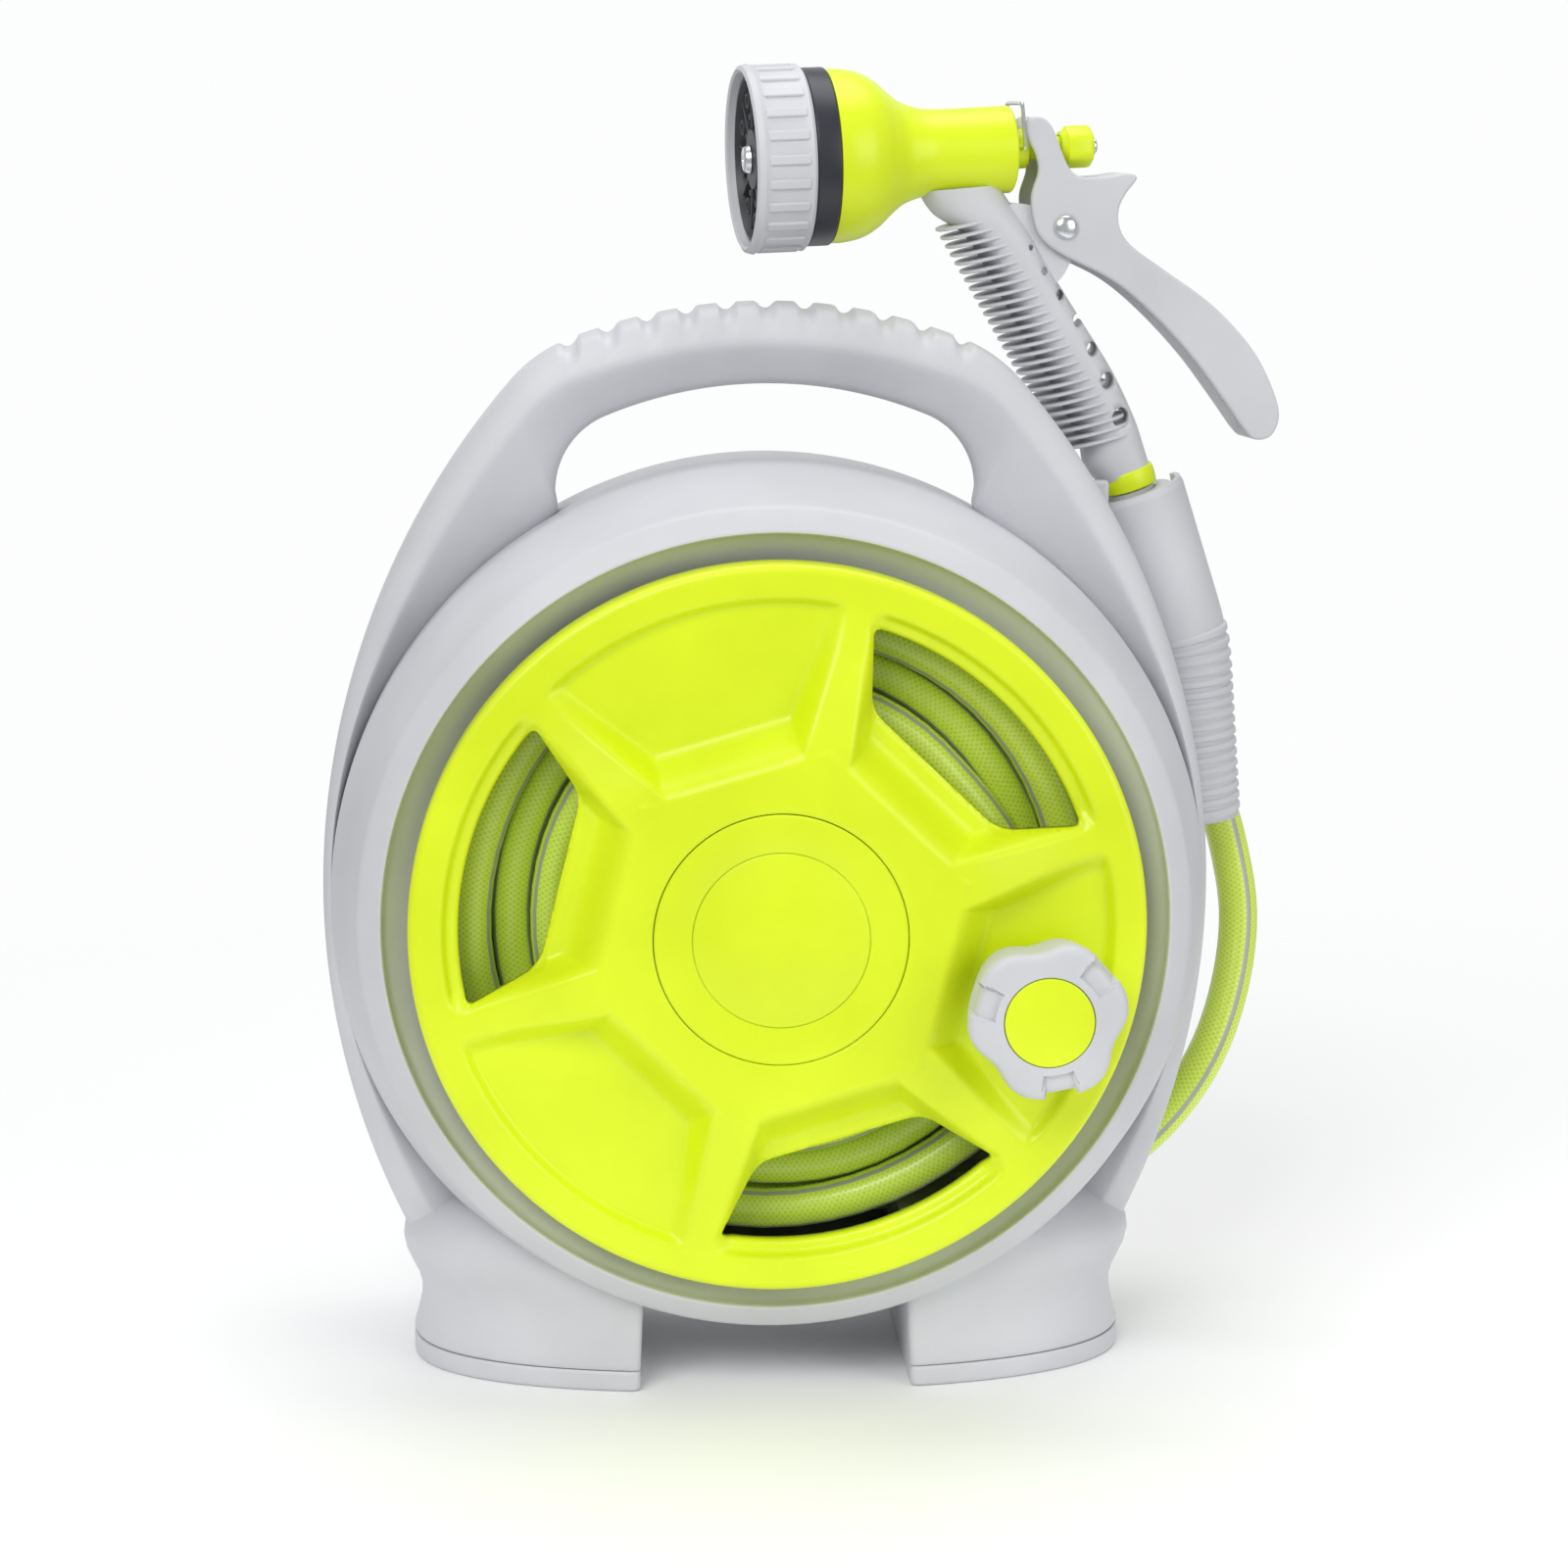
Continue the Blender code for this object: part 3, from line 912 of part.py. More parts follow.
def build_trigger(gun, grey, steel):
    """Squeeze lever: fork over the valve stem above the pivot, hollow channel below it."""
    pivot = empty("trigger_pivot", gun, (PIVOT_AT[0], 0, PIVOT_AT[1]))
    shift = (-PIVOT_AT[0], 0, -PIVOT_AT[1])
    outline = TRIGGER_OUTER + TRIGGER_INNER
    lever = place("trigger", moved(prism(outline, -TRIGGER_HALF_WIDTH, TRIGGER_HALF_WIDTH), shift), grey, pivot)
    cut(lever, moved(prism(CHANNEL_INNER, -FORK_HALF_WIDTH, FORK_HALF_WIDTH), shift), "channel")
    gate = [(-50 * MM, 94.5 * MM), (-10 * MM, 95.8 * MM), (-10 * MM, 115 * MM), (-50 * MM, 115 * MM)]
    cut(lever, moved(prism(gate, -STEM_SLOT, STEM_SLOT), shift), "fork")
    cut(lever, rod(PIVOT_R + GAP, -20 * MM, 20 * MM, 16), "pivot_hole")
    head = TRIGGER_HALF_WIDTH + GAP
    pin = [(0, -head - 1.4 * MM), (2.4 * MM, -head - 1.4 * MM), (3.7 * MM, -head - 0.5 * MM), (3.7 * MM, -head),
           (PIVOT_R, -head), (PIVOT_R, head), (3.7 * MM, head), (3.7 * MM, head + 0.5 * MM),
           (2.4 * MM, head + 1.4 * MM), (0, head + 1.4 * MM)]
    place("pivot_pin", turned(pin, 14, "Y"), steel, gun, (PIVOT_AT[0], 0, PIVOT_AT[1]))


CLIP_WIRE_R = 0.65 * MM
CLIP_PIVOT = (-35.6 * MM, 100.0 * MM)


def build_clip(gun, steel):
    """Wire bail that holds the trigger down, hung in two small holes beside the valve's gland."""
    pivot = empty("clip_pivot", gun, (CLIP_PIVOT[0], 0, CLIP_PIVOT[1]))
    side = TRIGGER_HALF_WIDTH + 1.2 * MM
    inner = 6.2 * MM
    rise = 13.4 * MM
    lean = -0.9 * MM
    points = [(0, -inner, 0), (0, -side + 0.8 * MM, 0), (0, -side, 0.8 * MM), (lean, -side, rise - 2.2 * MM),
              (lean, -side + 2 * MM, rise), (lean, side - 2 * MM, rise), (lean, side, rise - 2.2 * MM),
              (0, side, 0.8 * MM), (0, side - 0.8 * MM, 0), (0, inner, 0)]
    curve = bpy.data.curves.new("trigger_clip", "CURVE")
    curve.dimensions = "3D"
    curve.bevel_depth = CLIP_WIRE_R
    curve.bevel_resolution = 1
    curve.use_fill_caps = True
    line = curve.splines.new("POLY")
    line.points.add(len(points) - 1)
    for spot, point in zip(line.points, points):
        spot.co = (*point, 1)
    curve.materials.append(steel)
    item = bpy.data.objects.new("trigger_clip", curve)
    bpy.context.collection.objects.link(item)
    item.parent = pivot


# ---------------------------------------------------------------- build
clear_scene()
whole = empty("whole_reel", None, (SHIFT_X, SHIFT_Y, 0))
build_case(whole)
build_drum(whole)
build_connector(whole)
build_gun(whole)
bpy.context.view_layer.update()
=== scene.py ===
"""Looks of the hand-carried garden hose reel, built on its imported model. Metres, +Z up, front towards -Y."""

import math

import bmesh
import bpy
from mathutils import Matrix, Vector


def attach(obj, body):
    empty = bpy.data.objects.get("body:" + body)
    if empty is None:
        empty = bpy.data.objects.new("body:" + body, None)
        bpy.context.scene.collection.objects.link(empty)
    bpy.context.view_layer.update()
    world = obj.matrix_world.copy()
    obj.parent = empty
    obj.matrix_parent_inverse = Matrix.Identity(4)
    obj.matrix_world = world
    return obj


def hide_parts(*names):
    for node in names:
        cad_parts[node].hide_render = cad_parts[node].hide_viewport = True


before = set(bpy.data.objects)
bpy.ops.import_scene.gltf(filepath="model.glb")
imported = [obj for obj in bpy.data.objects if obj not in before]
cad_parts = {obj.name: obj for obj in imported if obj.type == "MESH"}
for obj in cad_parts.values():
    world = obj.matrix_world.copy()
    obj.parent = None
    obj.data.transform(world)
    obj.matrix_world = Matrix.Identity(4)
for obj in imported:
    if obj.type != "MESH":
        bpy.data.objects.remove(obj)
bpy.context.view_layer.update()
mm = 0.001


def in_mm(pairs):
    """Outline given in millimetres, in metres."""
    return [(a * mm, b * mm) for a, b in pairs]


# ------------------------------------------------------------ camera, floor and light
# A long lens a little above the drum, square on to the crank side.
camera_data = bpy.data.cameras.new("camera")
camera_data.lens = 90
camera_data.sensor_width = 36
camera_data.clip_start = 0.01
camera = bpy.data.objects.new("camera", camera_data)
bpy.context.collection.objects.link(camera)
camera.location = (-0.0786, -1.1521, 0.3785)
azimuth = math.radians(-3.5)
elevation = math.radians(10)
sight = Vector((-math.sin(azimuth) * math.cos(elevation), math.cos(azimuth) * math.cos(elevation),
                -math.sin(elevation)))
camera.rotation_euler = sight.to_track_quat("-Z", "Y").to_euler()
bpy.context.scene.camera = camera

world = bpy.data.worlds.new("soft_white")
world.use_nodes = True
sky = world.node_tree.nodes["Background"]
sky.inputs["Color"].default_value = (0.98, 0.985, 0.985, 1)
seen = world.node_tree.nodes.new("ShaderNodeLightPath")
sky_level = world.node_tree.nodes.new("ShaderNodeMapRange")
sky_level.inputs["To Min"].default_value = 0.42
sky_level.inputs["To Max"].default_value = 1.0
world.node_tree.links.new(seen.outputs["Is Camera Ray"], sky_level.inputs["Value"])
world.node_tree.links.new(sky_level.outputs[0], sky.inputs["Strength"])
bpy.context.scene.world = world
bpy.context.scene.view_settings.view_transform = "Standard"

floor_mesh = bmesh.new()
bmesh.ops.create_grid(floor_mesh, x_segments=8, y_segments=8, size=3.0)
floor_data = bpy.data.meshes.new("floor")
floor_mesh.to_mesh(floor_data)
floor_mesh.free()
floor = bpy.data.objects.new("floor", floor_data)
bpy.context.collection.objects.link(floor)
floor.location = (0, 0, -0.0002)
floor_paint = bpy.data.materials.new("pale_floor")
floor_paint.use_nodes = True
floor_shader = floor_paint.node_tree.nodes["Principled BSDF"]
floor_shader.inputs["Base Color"].default_value = (0.97, 0.975, 0.975, 1)
floor_shader.inputs["Roughness"].default_value = 0.8
# the sweep fades into the white backdrop away from the reel
floor_nodes = floor_paint.node_tree.nodes
floor_links = floor_paint.node_tree.links
floor_place = floor_nodes.new("ShaderNodeTexCoord")
floor_reach = floor_nodes.new("ShaderNodeVectorMath")
floor_reach.operation = "LENGTH"
floor_fade = floor_nodes.new("ShaderNodeMapRange")
floor_fade.inputs["From Min"].default_value = 0.28
floor_fade.inputs["From Max"].default_value = 0.75
floor_clear = floor_nodes.new("ShaderNodeBsdfTransparent")
floor_mix = floor_nodes.new("ShaderNodeMixShader")
floor_links.new(floor_place.outputs["Object"], floor_reach.inputs[0])
floor_links.new(floor_reach.outputs["Value"], floor_fade.inputs["Value"])
floor_links.new(floor_fade.outputs[0], floor_mix.inputs[0])
floor_links.new(floor_shader.outputs[0], floor_mix.inputs[1])
floor_links.new(floor_clear.outputs[0], floor_mix.inputs[2])
floor_links.new(floor_mix.outputs[0], floor_nodes["Material Output"].inputs["Surface"])
floor_data.materials.append(floor_paint)


def soft_light(name, place, aim, size, power, tint=(1, 1, 1)):
    data = bpy.data.lights.new(name, "AREA")
    data.shape = "RECTANGLE"
    data.size, data.size_y = size
    data.energy = power
    data.color = tint
    lamp = bpy.data.objects.new(name, data)
    bpy.context.collection.objects.link(lamp)
    lamp.location = place
    lamp.rotation_euler = (Vector(aim) - Vector(place)).to_track_quat("-Z", "Y").to_euler()
    return lamp


soft_light("key", (-0.8, -1.5, 1.4), (0, 0, 0.18), (1.2, 1.0), 21)
soft_light("fill", (1.4, -1.3, 0.7), (0, 0, 0.2), (1.2, 1.2), 10)
soft_light("top", (0.1, 0.3, 1.9), (0, 0, 0.2), (1.6, 1.2), 15)
soft_light("back", (0.0, 2.2, 0.9), (0, 0, 0.3), (3.4, 1.8), 9)

# ------------------------------------------------------------ hose
# Reinforced garden hose, 12 mm outside: clear lime PVC over a knitted yarn, with fine grey
# stripes. It is wound four layers deep on the drum, and one free stretch comes round
# from the gun's connector.
hose_d = 12 * mm
drum_at = Vector((-13 * mm, 9.3 * mm, 142 * mm))


def pipe(name, path, radius, around=16):
    """Tube along a path with a map of turns round it and metres along it."""
    shape = bmesh.new()
    layer = shape.loops.layers.uv.new("along")
    rows = []
    runs = [0.0]
    for a, b in zip(path, path[1:]):
        runs.append(runs[-1] + (b - a).length)
    side = None
    for i, point in enumerate(path):
        before = path[max(i - 1, 0)]
        after = path[min(i + 1, len(path) - 1)]
        forward = (after - before).normalized()
        if side is None:
            side = forward.orthogonal().normalized()
        side = (side - forward * side.dot(forward)).normalized()
        up = forward.cross(side)
        row = []
        for k in range(around):
            angle = 2 * math.pi * k / around
            row.append(shape.verts.new(point + (side * math.cos(angle) + up * math.sin(angle)) * radius))
        rows.append(row)
    for i in range(len(rows) - 1):
        for k in range(around):
            j = (k + 1) % around
            face = shape.faces.new((rows[i][k], rows[i][j], rows[i + 1][j], rows[i + 1][k]))
            face.smooth = True
            spots = ((k, runs[i]), (k + 1, runs[i]), (k + 1, runs[i + 1]), (k, runs[i + 1]))
            for loop, (turn, run) in zip(face.loops, spots):
                loop[layer].uv = (turn / around, run)
    shape.faces.new(list(reversed(rows[0])))
    shape.faces.new(rows[-1])
    return finish_shape(name, shape, recalculate=True)


def finish_shape(name, shape, recalculate=True, sharp=35):
    """Mesh object at the origin, smooth, with faces out."""
    if recalculate:
        bmesh.ops.recalc_face_normals(shape, faces=shape.faces)
    data = bpy.data.meshes.new(name)
    shape.to_mesh(data)
    shape.free()
    data.shade_smooth()
    data.set_sharp_from_angle(angle=math.radians(sharp))
    item = bpy.data.objects.new(name, data)
    bpy.context.collection.objects.link(item)
    return item


def smooth_curve(points, pitch):
    """Evenly spaced points on one smooth curve through the chosen points."""
    knots = [Vector(p) for p in points]
    knots = [2 * knots[0] - knots[1]] + knots + [2 * knots[-1] - knots[-2]]
    fine = []
    for a, b, c, d in zip(knots, knots[1:], knots[2:], knots[3:]):
        for i in range(60):
            t = i / 60
            fine.append(0.5 * ((2 * b) + (c - a) * t + (2 * a - 5 * b + 4 * c - d) * t * t
                               + (3 * b - a - 3 * c + d) * t * t * t))
    fine.append(knots[-2])
    total = sum((q - p).length for p, q in zip(fine, fine[1:]))
    count = max(2, round(total / pitch))
    route = [fine[0]]
    run = 0.0
    for p, q in zip(fine, fine[1:]):
        run += (q - p).length
        if run >= total / count * len(route) - 1e-9 and len(route) < count:
            route.append(q)
    route.append(fine[-1])
    return route


def new_material(name):
    paint = bpy.data.materials.new(name)
    paint.use_nodes = True
    nodes = paint.node_tree.nodes
    return paint, nodes, paint.node_tree.links, nodes["Principled BSDF"]


def ramp(nodes, stops, kind="LINEAR"):
    node = nodes.new("ShaderNodeValToRGB")
    node.color_ramp.interpolation = kind
    while len(node.color_ramp.elements) < len(stops):
        node.color_ramp.elements.new(0.5)
    for element, (spot, colour) in zip(node.color_ramp.elements, stops):
        element.position = spot
        element.color = (*colour, 1)
    return node


def math_node(nodes, links, kind, first, second=None, third=None):
    node = nodes.new("ShaderNodeMath")
    node.operation = kind
    for socket, value in zip(node.inputs, (first, second, third)):
        if value is None:
            continue
        if isinstance(value, (int, float)):
            socket.default_value = value
        else:
            links.new(value, socket)
    return node.outputs[0]


def hose_finish():
    paint, nodes, links, shader = new_material("hose_pvc_knitted")
    place = nodes.new("ShaderNodeUVMap")
    place.uv_map = "along"
    parts = nodes.new("ShaderNodeSeparateXYZ")
    links.new(place.outputs[0], parts.inputs[0])
    around = parts.outputs[0]
    along = parts.outputs[1]
    # knit: two families of yarn that wind round the hose and cross
    turns = math_node(nodes, links, "MULTIPLY", around, 16)
    steps = math_node(nodes, links, "MULTIPLY", along, 600)
    rising = math_node(nodes, links, "ADD", turns, steps)
    falling = math_node(nodes, links, "SUBTRACT", turns, steps)
    yarns = []
    for slope in (rising, falling):
        wave = math_node(nodes, links, "SINE", math_node(nodes, links, "MULTIPLY", slope, 2 * math.pi))
        yarns.append(math_node(nodes, links, "MULTIPLY_ADD", wave, 0.5, 0.5))
    knit = math_node(nodes, links, "MAXIMUM", yarns[0], yarns[1])
    # three fine grey stripes run along the hose
    shifted = math_node(nodes, links, "FRACT", math_node(nodes, links, "MULTIPLY_ADD", around, 3, 0.13))
    centred = math_node(nodes, links, "ABSOLUTE", math_node(nodes, links, "SUBTRACT", shifted, 0.5))
    stripe = math_node(nodes, links, "LESS_THAN", centred, 0.068)
    base = ramp(nodes, [(0.1, (0.55, 0.76, 0.02)), (0.75, (0.68, 0.90, 0.05)), (1.0, (0.78, 0.93, 0.18))])
    links.new(knit, base.inputs[0])
    cloud = nodes.new("ShaderNodeTexNoise")
    cloud.inputs["Scale"].default_value = 14
    where = nodes.new("ShaderNodeTexCoord")
    links.new(where.outputs["Object"], cloud.inputs["Vector"])
    shade = nodes.new("ShaderNodeMix")
    shade.data_type = "RGBA"
    shade.blend_type = "MULTIPLY"
    shade.inputs["Factor"].default_value = 0.10
    links.new(base.outputs[0], shade.inputs["A"])
    links.new(cloud.outputs["Color"], shade.inputs["B"])
    striped = nodes.new("ShaderNodeMix")
    striped.data_type = "RGBA"
    striped.inputs["B"].default_value = (0.40, 0.42, 0.34, 1)
    links.new(stripe, striped.inputs["Factor"])
    links.new(shade.outputs["Result"], striped.inputs["A"])
    links.new(striped.outputs["Result"], shader.inputs["Base Color"])
    bump = nodes.new("ShaderNodeBump")
    bump.inputs["Strength"].default_value = 0.12
    bump.inputs["Distance"].default_value = 0.0003
    links.new(knit, bump.inputs["Height"])
    links.new(bump.outputs[0], shader.inputs["Normal"])
    shader.inputs["Roughness"].default_value = 0.38
    shader.inputs["Coat Weight"].default_value = 0.5
    shader.inputs["Coat Roughness"].default_value = 0.16
    shader.inputs["Subsurface Weight"].default_value = 0.12
    shader.inputs["Subsurface Radius"].default_value = (0.004, 0.006, 0.001)
    return paint


hose_paint = hose_finish()

turn_pitch = 12.15 * mm
coil_front = -48.5 * mm
layer_radii = [(54.35 + 11.3 * layer) * mm for layer in range(4)]
layer_turns = (5, 6, 5, 6)
step_from = 0.82
turn_start = math.radians(-20)
slack = 0.35 * mm
points_per_turn = 60


def winding_path():
    """Turns side by side, layer on layer, each stepping over by one hose width in its last part."""
    points = []
    forward = True
    for layer, (radius, turns) in enumerate(zip(layer_radii, layer_turns)):
        first = coil_front + turn_pitch * (1.0 if layer % 2 == 0 else 0.5)
        spots = [first + turn_pitch * i for i in range(turns)]
        if not forward:
            spots.reverse()
        for index, spot in enumerate(spots):
            last_turn = index == turns - 1
            for i in range(points_per_turn):
                share = i / points_per_turn
                over = max(0.0, (share - step_from) / (1 - step_from))
                over = over * over * (3 - 2 * over)
                reach = radius
                place_y = spot
                if not last_turn:
                    place_y += (spots[index + 1] - spot) * over
                elif layer < len(layer_radii) - 1:
                    reach += (layer_radii[layer + 1] - radius) * over
                    place_y += 0.5 * turn_pitch * over
                angle = turn_start - 2 * math.pi * share
                wander = slack * math.sin(5 * angle + 2.1 * index + 4.0 * layer)
                points.append(drum_at + Vector(((reach + wander) * math.cos(angle), place_y,
                                                (reach + wander) * math.sin(angle))))
        forward = not forward
    return points


wound = winding_path()
winding = pipe("hose_winding", wound, hose_d / 2 - 0.05 * mm, around=14)
winding.data.materials.append(hose_paint)
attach(winding, "drum")
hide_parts("hose_coil")

lead_points = [Vector((x * mm - 13 * mm, y * mm + 9.3 * mm, z * mm)) for x, y, z in (
    (124.9, 31.6, 223.5), (126.9, 31.9, 217.3), (128.7, 32.3, 211.7), (131.8, 34.8, 200.0),
    (136.2, 39.4, 184.5), (141.8, 43.4, 167.0), (148.2, 43.0, 146.0), (151.2, 38.0, 124.0),
    (147.8, 31.2, 102.0), (139.6, 24.0, 82.0), (127.6, 21.5, 64.5), (112.5, 20.6, 51.2), (94.0, 20.3, 43.7),
    (70.0, 20.2, 41.0), (40.0, 20.0, 40.6), (2.0, 20.0, 40.6))]
lead_path = smooth_curve(lead_points, 4 * mm)
lead = pipe("hose_free_stretch", lead_path, hose_d / 2, around=28)
lead.data.materials.append(hose_paint)
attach(lead, "case")
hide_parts("hose_lead")


# ------------------------------------------------------------ moulded plastics
# Satin polypropylene for the case and grips, glossier lime for drum and gun, black for the
# dial. Each has a fine spark-eroded grain, slight flow clouding and a painted highlight on its convex edges.
def plastic(name, colour, roughness, grain=0.00006, edge_highlight=0.10, coat=0.0, glow=0.0):
    paint, nodes, links, shader = new_material(name)
    where = nodes.new("ShaderNodeTexCoord")
    cloud = nodes.new("ShaderNodeTexNoise")
    cloud.inputs["Scale"].default_value = 22
    cloud.inputs["Detail"].default_value = 4
    links.new(where.outputs["Object"], cloud.inputs["Vector"])
    darker = tuple(c * 0.93 for c in colour)
    lighter = tuple(min(1.0, c * 1.04 + 0.004) for c in colour)
    body = ramp(nodes, [(0.3, darker), (0.7, lighter)])
    links.new(cloud.outputs["Fac"], body.inputs[0])
    # painted highlight: convex edges (high pointiness) are mixed towards a paler colour, as if light caught
    # them
    edge = nodes.new("ShaderNodeNewGeometry")
    edge_highlight_mask = ramp(nodes, [(0.52, (0, 0, 0)), (0.60, (1, 1, 1))])
    links.new(edge.outputs["Pointiness"], edge_highlight_mask.inputs[0])
    amount = math_node(nodes, links, "MULTIPLY", edge_highlight_mask.outputs[0], edge_highlight)
    mix = nodes.new("ShaderNodeMix")
    mix.data_type = "RGBA"
    mix.inputs["B"].default_value = (*[min(1.0, c * 1.15 + 0.05) for c in colour], 1)
    links.new(amount, mix.inputs["Factor"])
    links.new(body.outputs[0], mix.inputs["A"])
    links.new(mix.outputs["Result"], shader.inputs["Base Color"])
    rough = nodes.new("ShaderNodeMapRange")
    rough.inputs["To Min"].default_value = roughness - 0.05
    rough.inputs["To Max"].default_value = roughness + 0.06
    links.new(cloud.outputs["Fac"], rough.inputs["Value"])
    links.new(rough.outputs[0], shader.inputs["Roughness"])
    grainy = nodes.new("ShaderNodeTexNoise")
    grainy.inputs["Scale"].default_value = 1500
    grainy.inputs["Detail"].default_value = 2
    links.new(where.outputs["Object"], grainy.inputs["Vector"])
    bump = nodes.new("ShaderNodeBump")
    bump.inputs["Strength"].default_value = 0.35
    bump.inputs["Distance"].default_value = grain
    links.new(grainy.outputs["Fac"], bump.inputs["Height"])
    links.new(bump.outputs[0], shader.inputs["Normal"])
    shader.inputs["Coat Weight"].default_value = coat
    shader.inputs["Coat Roughness"].default_value = 0.25
    if glow:
        shader.inputs["Subsurface Weight"].default_value = glow
        shader.inputs["Subsurface Radius"].default_value = (0.003, 0.004, 0.0005)
    return paint


grey_paint = plastic("grey_polypropylene", (0.600, 0.606, 0.636), 0.46)
lime_paint = plastic("lime_plastic", (0.740, 0.890, 0.004), 0.36, edge_highlight=0.05, coat=0.08, glow=0.05)
black_paint = plastic("black_plastic", (0.022, 0.025, 0.035), 0.34, edge_highlight=0.12)
dark_paint = plastic("dark_nozzle_plastic", (0.035, 0.037, 0.042), 0.42, edge_highlight=0.2)


# ------------------------------------------------------------ case: frame, handle and feet
# Two grey polypropylene mouldings meet on the middle plane: a round drum housing, a frame
# that runs over it as the carrying handle, and two hollow feet. They are screwed from behind,
# but the rear moulding's screw bores are not cut, so its screws are hidden in it.
case_half_width = 133 * mm
case_top = 318 * mm
side_arc = 232 * mm
top_arc = 160 * mm
corner_arc = 45 * mm
shell_r = 130 * mm
crease_r = 121 * mm
lip_r = 113.7 * mm


def circle_inside(first, first_r, second, second_r, radius):
    """Centre of a circle that touches two larger circles from inside, on the upper right side."""
    reach = Vector(second) - Vector(first)
    span = reach.length
    d1 = first_r - radius
    d2 = second_r - radius
    along = (d1 * d1 - d2 * d2 + span * span) / (2 * span)
    aside = math.sqrt(max(d1 * d1 - along * along, 0))
    unit = reach / span
    return Vector(first) + unit * along + Vector((-unit.y, unit.x)) * aside


def arc_points(centre, radius, start, end, step):
    count = max(2, math.ceil(abs(end - start) * radius / step))
    return [Vector((centre[0] + radius * math.cos(start + (end - start) * i / count),
                    centre[1] + radius * math.sin(start + (end - start) * i / count)))
            for i in range(count + 1)]


side_centre = Vector((case_half_width - side_arc, 0))
top_centre = Vector((0, case_top - 142 * mm - top_arc))


def outer_rail():
    """Right half of the frame's outline, about the drum's axis, from the foot to the handle's middle."""
    corner = circle_inside(side_centre, side_arc, top_centre, top_arc, corner_arc)
    join = math.atan2(corner.y - side_centre.y, corner.x - side_centre.x)
    top = math.atan2(corner.y - top_centre.y, corner.x - top_centre.x)
    low = math.asin(-106 * mm / side_arc)
    rail = arc_points(side_centre, side_arc, low, join, 3 * mm)
    rail += arc_points(corner, corner_arc, join, top, 2 * mm)[1:]
    rail += arc_points(top_centre, top_arc, top, math.pi / 2, 0.7 * mm)[1:]
    return rail


hole_half = 62.5 * mm
hole_top = 152 * mm
hole_arc = 125 * mm
hole_corner = 24 * mm


def inner_rail():
    """Right half of the frame's inner edge: along the housing, then up round the handle hole."""
    centre = Vector((0, hole_top - hole_arc))
    corner_x = hole_half - hole_corner
    corner = Vector((corner_x, centre.y + math.sqrt((hole_arc - hole_corner) ** 2 - corner_x ** 2)))
    turn = math.atan2(corner.y - centre.y, corner.x - centre.x)
    tip = math.acos(hole_half / shell_r) - math.radians(0.6)
    rail = arc_points((0, 0), shell_r - 1.5 * mm, -math.radians(56), tip - math.radians(1.5), 2 * mm)
    foot_of_hole = Vector((shell_r * math.cos(tip), shell_r * math.sin(tip)))
    rail += [foot_of_hole + Vector((-0.4 * mm, -0.6 * mm)), foot_of_hole + Vector((-1.6 * mm, 0.8 * mm)),
             foot_of_hole + Vector((-2.0 * mm, 2.6 * mm))]
    rail += arc_points(corner, hole_corner, 0, turn, 1.5 * mm)
    rail += arc_points(centre, hole_arc, turn, math.pi / 2, 1 * mm)[1:]
    return rail


def even_rail(rail, count):
    """The rail's points spread again, evenly by length."""
    runs = [0.0]
    for a, b in zip(rail, rail[1:]):
        runs.append(runs[-1] + (b - a).length)
    points = []
    index = 0
    for i in range(count + 1):
        want = runs[-1] * i / count
        while index < len(runs) - 2 and runs[index + 1] < want:
            index += 1
        step = runs[index + 1] - runs[index]
        share = 0 if step < 1e-12 else (want - runs[index]) / step
        points.append(rail[index].lerp(rail[index + 1], min(max(share, 0), 1)))
    return points


grip_notches = 11
notch_pitch = 11.6 * mm
notch_depth = 2.1 * mm


def notch(x):
    """How far the grip's finger notches cut in at x along the handle."""
    nearest = round(x / notch_pitch)
    if abs(nearest) > (grip_notches - 1) / 2:
        return 0.0
    off = abs(x - nearest * notch_pitch) / (2.9 * mm)
    return notch_depth * max(0.0, 1 - off * off)


# across the frame from the outer edge to the inner edge: distance in from the outer edge,
# depth of the front face, and how much of it the notches take
frame_section = [(0.0, 0.3, 1.0), (0.0, 4.0, 1.0), (0.25, 7.0, 1.0), (1.0, 9.4, 1.0), (2.2, 11.0, 0.95),
                 (4.0, 12.4, 0.7), (6.5, 13.6, 0.25), (9.5, 14.6, 0.0), (11.2, 14.9, 0.0),
                 (12.0, 14.7, 0.0)]
inner_section = [(0.12, 13.9), (0.35, 11.8), (0.6, 9.6), (0.82, 7.8), (0.93, 6.4), (0.985, 4.6), (1.0, 2.6),
                 (1.0, 0.3)]


def frame_shell(side, depth_share):
    """Front (-1) or back (1) half of the frame and handle, lofted between its two edges."""
    count = 420
    outer = even_rail(outer_rail(), count)
    inner = even_rail(inner_rail(), count)
    shape = bmesh.new()
    rows = []
    for hand in (1, -1):
        order = range(count + 1) if hand > 0 else range(count - 1, -1, -1)
        for i in order:
            out = outer[i]
            inn = inner[i]
            across = inn - out
            width = across.length
            unit = across / width
            bite = notch(out.x) if out.y > 140 * mm else 0.0
            row = []
            for inset, depth, share in frame_section:
                spot = out + unit * (inset * mm + bite * share)
                row.append((spot, depth * mm))
            ridge = out + unit * 12 * mm
            for share, depth in inner_section:
                row.append((ridge.lerp(inn, share), depth * mm))
            verts = []
            for spot, depth in row:
                verts.append(shape.verts.new(drum_at + Vector((hand * spot.x,
                    side * max(depth * depth_share, 0.15 * mm),
                                                               spot.y))))
            rows.append(verts)
    for a, b in zip(rows, rows[1:]):
        for k in range(len(a) - 1):
            shape.faces.new((a[k], a[k + 1], b[k + 1], b[k]))
        shape.faces.new((a[-1], a[0], b[0], b[-1]))
    shape.faces.new(rows[0])
    shape.faces.new(rows[-1])
    return shape


